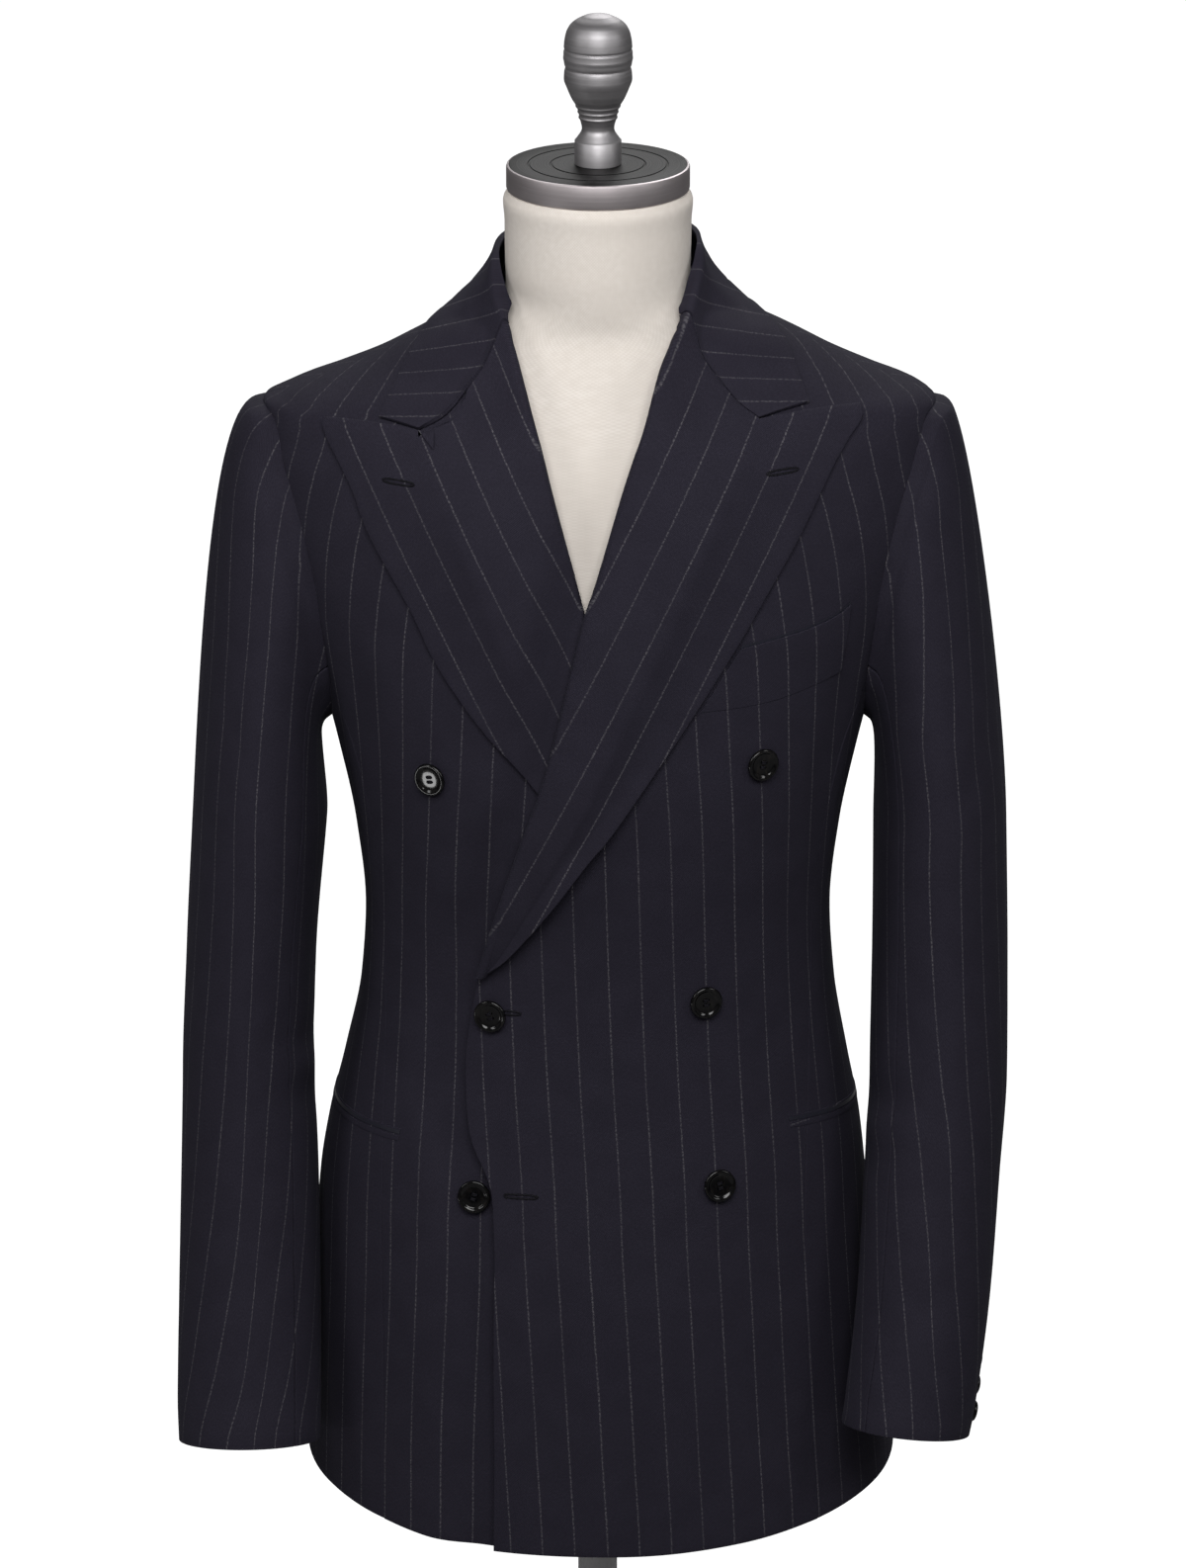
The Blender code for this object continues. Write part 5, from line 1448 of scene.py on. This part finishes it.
def surface_of(made):
    """The finished surface of a piece, for what is sewn on it."""
    evaluated = made.evaluated_get(bpy.context.evaluated_depsgraph_get())
    mesh = evaluated.to_mesh()
    points, faces = [v.co.copy() for v in mesh.vertices], [tuple(p.vertices) for p in mesh.polygons]
    tree = BVHTree.FromPolygons(points, faces)
    evaluated.to_mesh_clear()
    return tree


def from_front(tree, x, height):
    """Where a line from the front meets a piece, and its way out there."""
    return tree.ray_cast(Vector((x, -0.5, height)), Vector((0, 1, 0)))[:2]


def turns(count):
    return [2 * math.pi * k / count for k in range(count)]


def add_tube(shape, rings, closed=False):
    """A tube through rings of points, joined end to end or filled at both ends."""
    loops = []
    for ring in rings:
        ring = [shape.verts.new(point) for point in ring]
        loops.append([shape.edges.new(pair) for pair in zip(ring, ring[1:] + ring[:1])])
    for one, other in zip(loops, loops[1:] + (loops[:1] if closed else [])):
        bmesh.ops.bridge_loops(shape, edges=one + other)
    if not closed:
        bmesh.ops.holes_fill(shape, edges=[edge for edge in shape.edges if edge.is_boundary], sides=0)


def purled(surface, name, x, height, length, tilt, eye):
    """A bound slit on a piece: one cord of stitches round it, following the cloth."""
    tilt = math.radians(tilt)
    seats = []
    for turn in turns(PURL_STITCHES):
        across = length / 2 * math.copysign(abs(math.cos(turn)) ** 0.5, math.cos(turn))
        up = (HOLE_WIDE / 2 + (eye if math.cos(turn) < -EYE_SHARE else 0.0)) * math.sin(turn)
        to_x = x + across * math.cos(tilt) - up * math.sin(tilt)
        seats.append(from_front(surface, to_x, height + across * math.sin(tilt) + up * math.cos(tilt)))
    rings = []
    for i, (seat, way_out) in enumerate(seats):
        onward = (seats[(i + 1) % PURL_STITCHES][0] - seats[i - 1][0]).normalized()
        beside = way_out.cross(onward).normalized()
        up = way_out * PURL * (1.0 + PURL_KNOT * (-1) ** i)
        side = beside * PURL * PURL_FLAT * (1.0 + PURL_KNOT * (-1) ** i)
        rings.append([seat + side * math.cos(a) + up * math.sin(a) for a in turns(PURL_SIDES)])
    shape = bmesh.new()
    add_tube(shape, rings, True)
    bmesh.ops.recalc_face_normals(shape, faces=shape.faces)
    linked(f"buttonhole_{name}", shape, "pinstripe_wool", None, thread)


left_surface, right_surface = surface_of(front_left), surface_of(front_right)
for leaf, hole in zip((lapel_left, lapel_right), LAPEL_HOLES):
    purled(surface_of(leaf), *hole)
for hole in FRONT_HOLES:
    purled(left_surface, *hole)

# ---- buttons on the fronts ------------------------------------------------------------------------
# Six turned buttons of polished black horn with a raised rim and four holes, sewn on through the front with
# two bars of thread. The middle right one fastens the overlap, and the lower right one lies on the front
# beneath it.
BUTTON_RADIUS, BUTTON_THICKNESS = 0.0102, 0.0036
# Buttons on the fronts: x, height, gap under the middle, turn in degrees, what they lie on
FRONT_BUTTONS = (
    (-0.1, 0.757, 0.0004, 8, right_surface),
    (0.098, 0.767, 0.0004, -12, left_surface),
    (-0.065, 0.605, 0.0004, 20, left_surface),
    (0.065, 0.614, 0.0004, 5, left_surface),
    (-0.0755, 0.488, 0.0012, -15, right_surface),
    (0.074, 0.497, 0.0004, 10, left_surface),
)
# Half of a button's outline, from its middle round its rim: shares of its radius and thickness
BUTTON_OUTLINE = (
    (0.0, 0.645), (0.35, 0.645), (0.6, 0.648), (0.66, 0.67), (0.71, 0.76), (0.77, 0.91), (0.83, 0.98),
    (0.885, 1.0), (0.93, 0.98), (0.97, 0.88), (0.99, 0.74), (1.0, 0.56), (0.98, 0.38), (0.9, 0.16),
    (0.78, 0.04), (0.6, 0.0), (0.0, 0.0),
)
# Shares of a button's radius: its holes off the middle, their radius, the thread's, and between two strands
HOLE_OFF, HOLE_RADIUS, THREAD_RADIUS, STRANDS = 0.21, 0.085, 0.055, 0.09
# The thread's bars: their length over that between two holes, their foot in the dish, and how far they bow up
BAR_LONG, BAR_FOOT, BAR_BOW, BAR_STEPS, BAR_SIDES = 1.1, 0.62, 0.06, 8, 8

horn, tree, shader = finish("polished_black_horn", 0.16, Specular_IOR_Level=0.34)
place = object_place(tree)
streaked = node(tree, "Mapping", {"Vector": place, "Scale": (1.0, 1.0, 0.3)}).outputs[0]
streak = ranged(tree, noise(tree, streaked, 240.0, 4.0, Distortion=1.5), 0.45, 0.8)
gloss = ranged(tree, mottled(tree, place, 700.0, 4.0), 0.0, 1.0, 0.06, 0.11)
dress(tree, shader, blended(tree, streak, (0.0022, 0.0021, 0.0024), (0.0085, 0.0072, 0.0066)), gloss)


def button_blank(radius, thickness, sides):
    """A button lying on Z = 0: dished in the middle, with a raised round rim and four holes through it."""
    blank = object_of("blank", spun([(r * radius, h * thickness) for r, h in BUTTON_OUTLINE], sides))
    drills = bmesh.new()
    off, hole = HOLE_OFF * radius, HOLE_RADIUS * radius
    for i in range(4):
        turn = math.radians(45 + 90 * i)
        bmesh.ops.create_cone(
            drills, cap_ends=True, segments=12, radius1=hole, radius2=hole, depth=thickness * 3,
            matrix=Matrix.Translation((off * math.cos(turn), off * math.sin(turn), thickness / 2)),
        )
    drill = object_of("drills", drills)
    bore = blank.modifiers.new("Holes", "BOOLEAN")
    bore.object = drill
    bore.operation = "DIFFERENCE"
    made = bpy.data.meshes.new_from_object(blank.evaluated_get(bpy.context.evaluated_depsgraph_get()))
    for helper in (blank, drill):
        bpy.data.objects.remove(helper)
    return made


def stitched(radius, thickness):
    """Two bars of thread across the four holes, lying in the dish of a button on Z = 0."""
    shape = bmesh.new()
    off, thick = HOLE_OFF * radius * math.sin(math.radians(45)), THREAD_RADIUS * radius
    for row in (-1, 1):
        for lane in (-STRANDS / 2, STRANDS / 2):
            rings = []
            for t in even(BAR_STEPS):
                lift = thickness * BAR_FOOT + BAR_BOW * radius * math.sin(math.pi * t) ** 0.6
                point = Vector((off * 2 * BAR_LONG * (t - 0.5), row * off + lane * radius, lift))
                around = [Vector((0, math.cos(a), math.sin(a))) for a in turns(BAR_SIDES)]
                rings.append([point + way * thick for way in around])
            add_tube(shape, rings)
    bmesh.ops.recalc_face_normals(shape, faces=shape.faces)
    return shape


def sewn_button(node_name, blank, sewing, seat, way_out, gap, spin):
    """A button and its thread set on the cloth with a gap under it, turned to face out from it."""
    turn = way_out.to_track_quat("Z", "Y").to_matrix().to_4x4()
    move = Matrix.Translation(seat + way_out * gap) @ turn @ Matrix.Rotation(math.radians(spin), 4, "Z")
    shape = bmesh.new()
    shape.from_mesh(blank)
    bars = sewing.copy()
    for moved in (shape, bars):
        bmesh.ops.transform(moved, matrix=move, verts=moved.verts)
    made = linked(f"horn_{node_name}", shape, "horn_button", node_name, horn)
    made.data.set_sharp_from_angle(angle=math.radians(48))
    linked(f"horn_{node_name}_thread", bars, "pinstripe_wool", None, thread)


front_blank = button_blank(BUTTON_RADIUS, BUTTON_THICKNESS, sides=56)
front_sewing = stitched(BUTTON_RADIUS, BUTTON_THICKNESS)
for number, (x, height, gap, spin, surface) in enumerate(FRONT_BUTTONS, 1):
    seat, way_out = from_front(surface, x, height)
    sewn_button(f"front_button_{number}", front_blank, front_sewing, seat, way_out, gap, spin)

# A small card beside the stand, which the face of the upper right button mirrors towards the camera
CARD_AWAY, CARD_SIZE, CARD_WATTS = 1.5, 0.16, 0.85
seat, way_out = from_front(right_surface, *FRONT_BUTTONS[0][:2])
to_camera = (camera.location - seat).normalized()
mirrored_way = way_out * (2 * way_out.dot(to_camera)) - to_camera
soft_box("button_card", seat + mirrored_way * CARD_AWAY, seat, (CARD_SIZE, CARD_SIZE), CARD_WATTS)

# ---- buttons on the cuffs -------------------------------------------------------------------------
# Four smaller buttons of the same horn on each sleeve, in a row along the back seam. Their rims just touch,
# and each lies flat on the top sleeve.
CUFF_BUTTON_RADIUS, CUFF_BUTTON_THICKNESS, CUFF_BUTTON_GAP = 0.0066, 0.003, 0.0004
CUFF_BUTTON_RISES = (0.058, 0.0443, 0.0306, 0.0169)  # above the cuff
CUFF_BUTTON_TURN = 12  # degrees from the back seam
OUTSIDE = 0.004  # how far outside the sleeve each seat is looked for
cuff_blank = button_blank(CUFF_BUTTON_RADIUS, CUFF_BUTTON_THICKNESS, sides=40)
cuff_sewing = stitched(CUFF_BUTTON_RADIUS, CUFF_BUTTON_THICKNESS)
for word, side, ring_point, rings, piece in (
    ("left", 1, ring_left, SLEEVE_LEFT, top_sleeve_left),
    ("right", -1, ring_right, SLEEVE_RIGHT, top_sleeve_right),
):
    seams, surface = Table(rings), surface_of(piece)
    for number, rise in enumerate(CUFF_BUTTON_RISES, 1):
        height = rings[-1][0] + rise
        near = swapped(ring_point(seams.at(height)[4] - 360 + CUFF_BUTTON_TURN, height), side)
        outward = (near - Vector((SLEEVE_CORE.x * side, near.y * 0.9, height))).normalized()
        seat, way_out, _, _ = surface.find_nearest(near + outward * OUTSIDE)
        name = f"cuff_button_{word}_{number}"
        sewn_button(name, cuff_blank, cuff_sewing, seat, way_out, CUFF_BUTTON_GAP, 15 * number)

# ---- the scene brought up to date -----------------------------------------------------------------
bpy.context.view_layer.update()
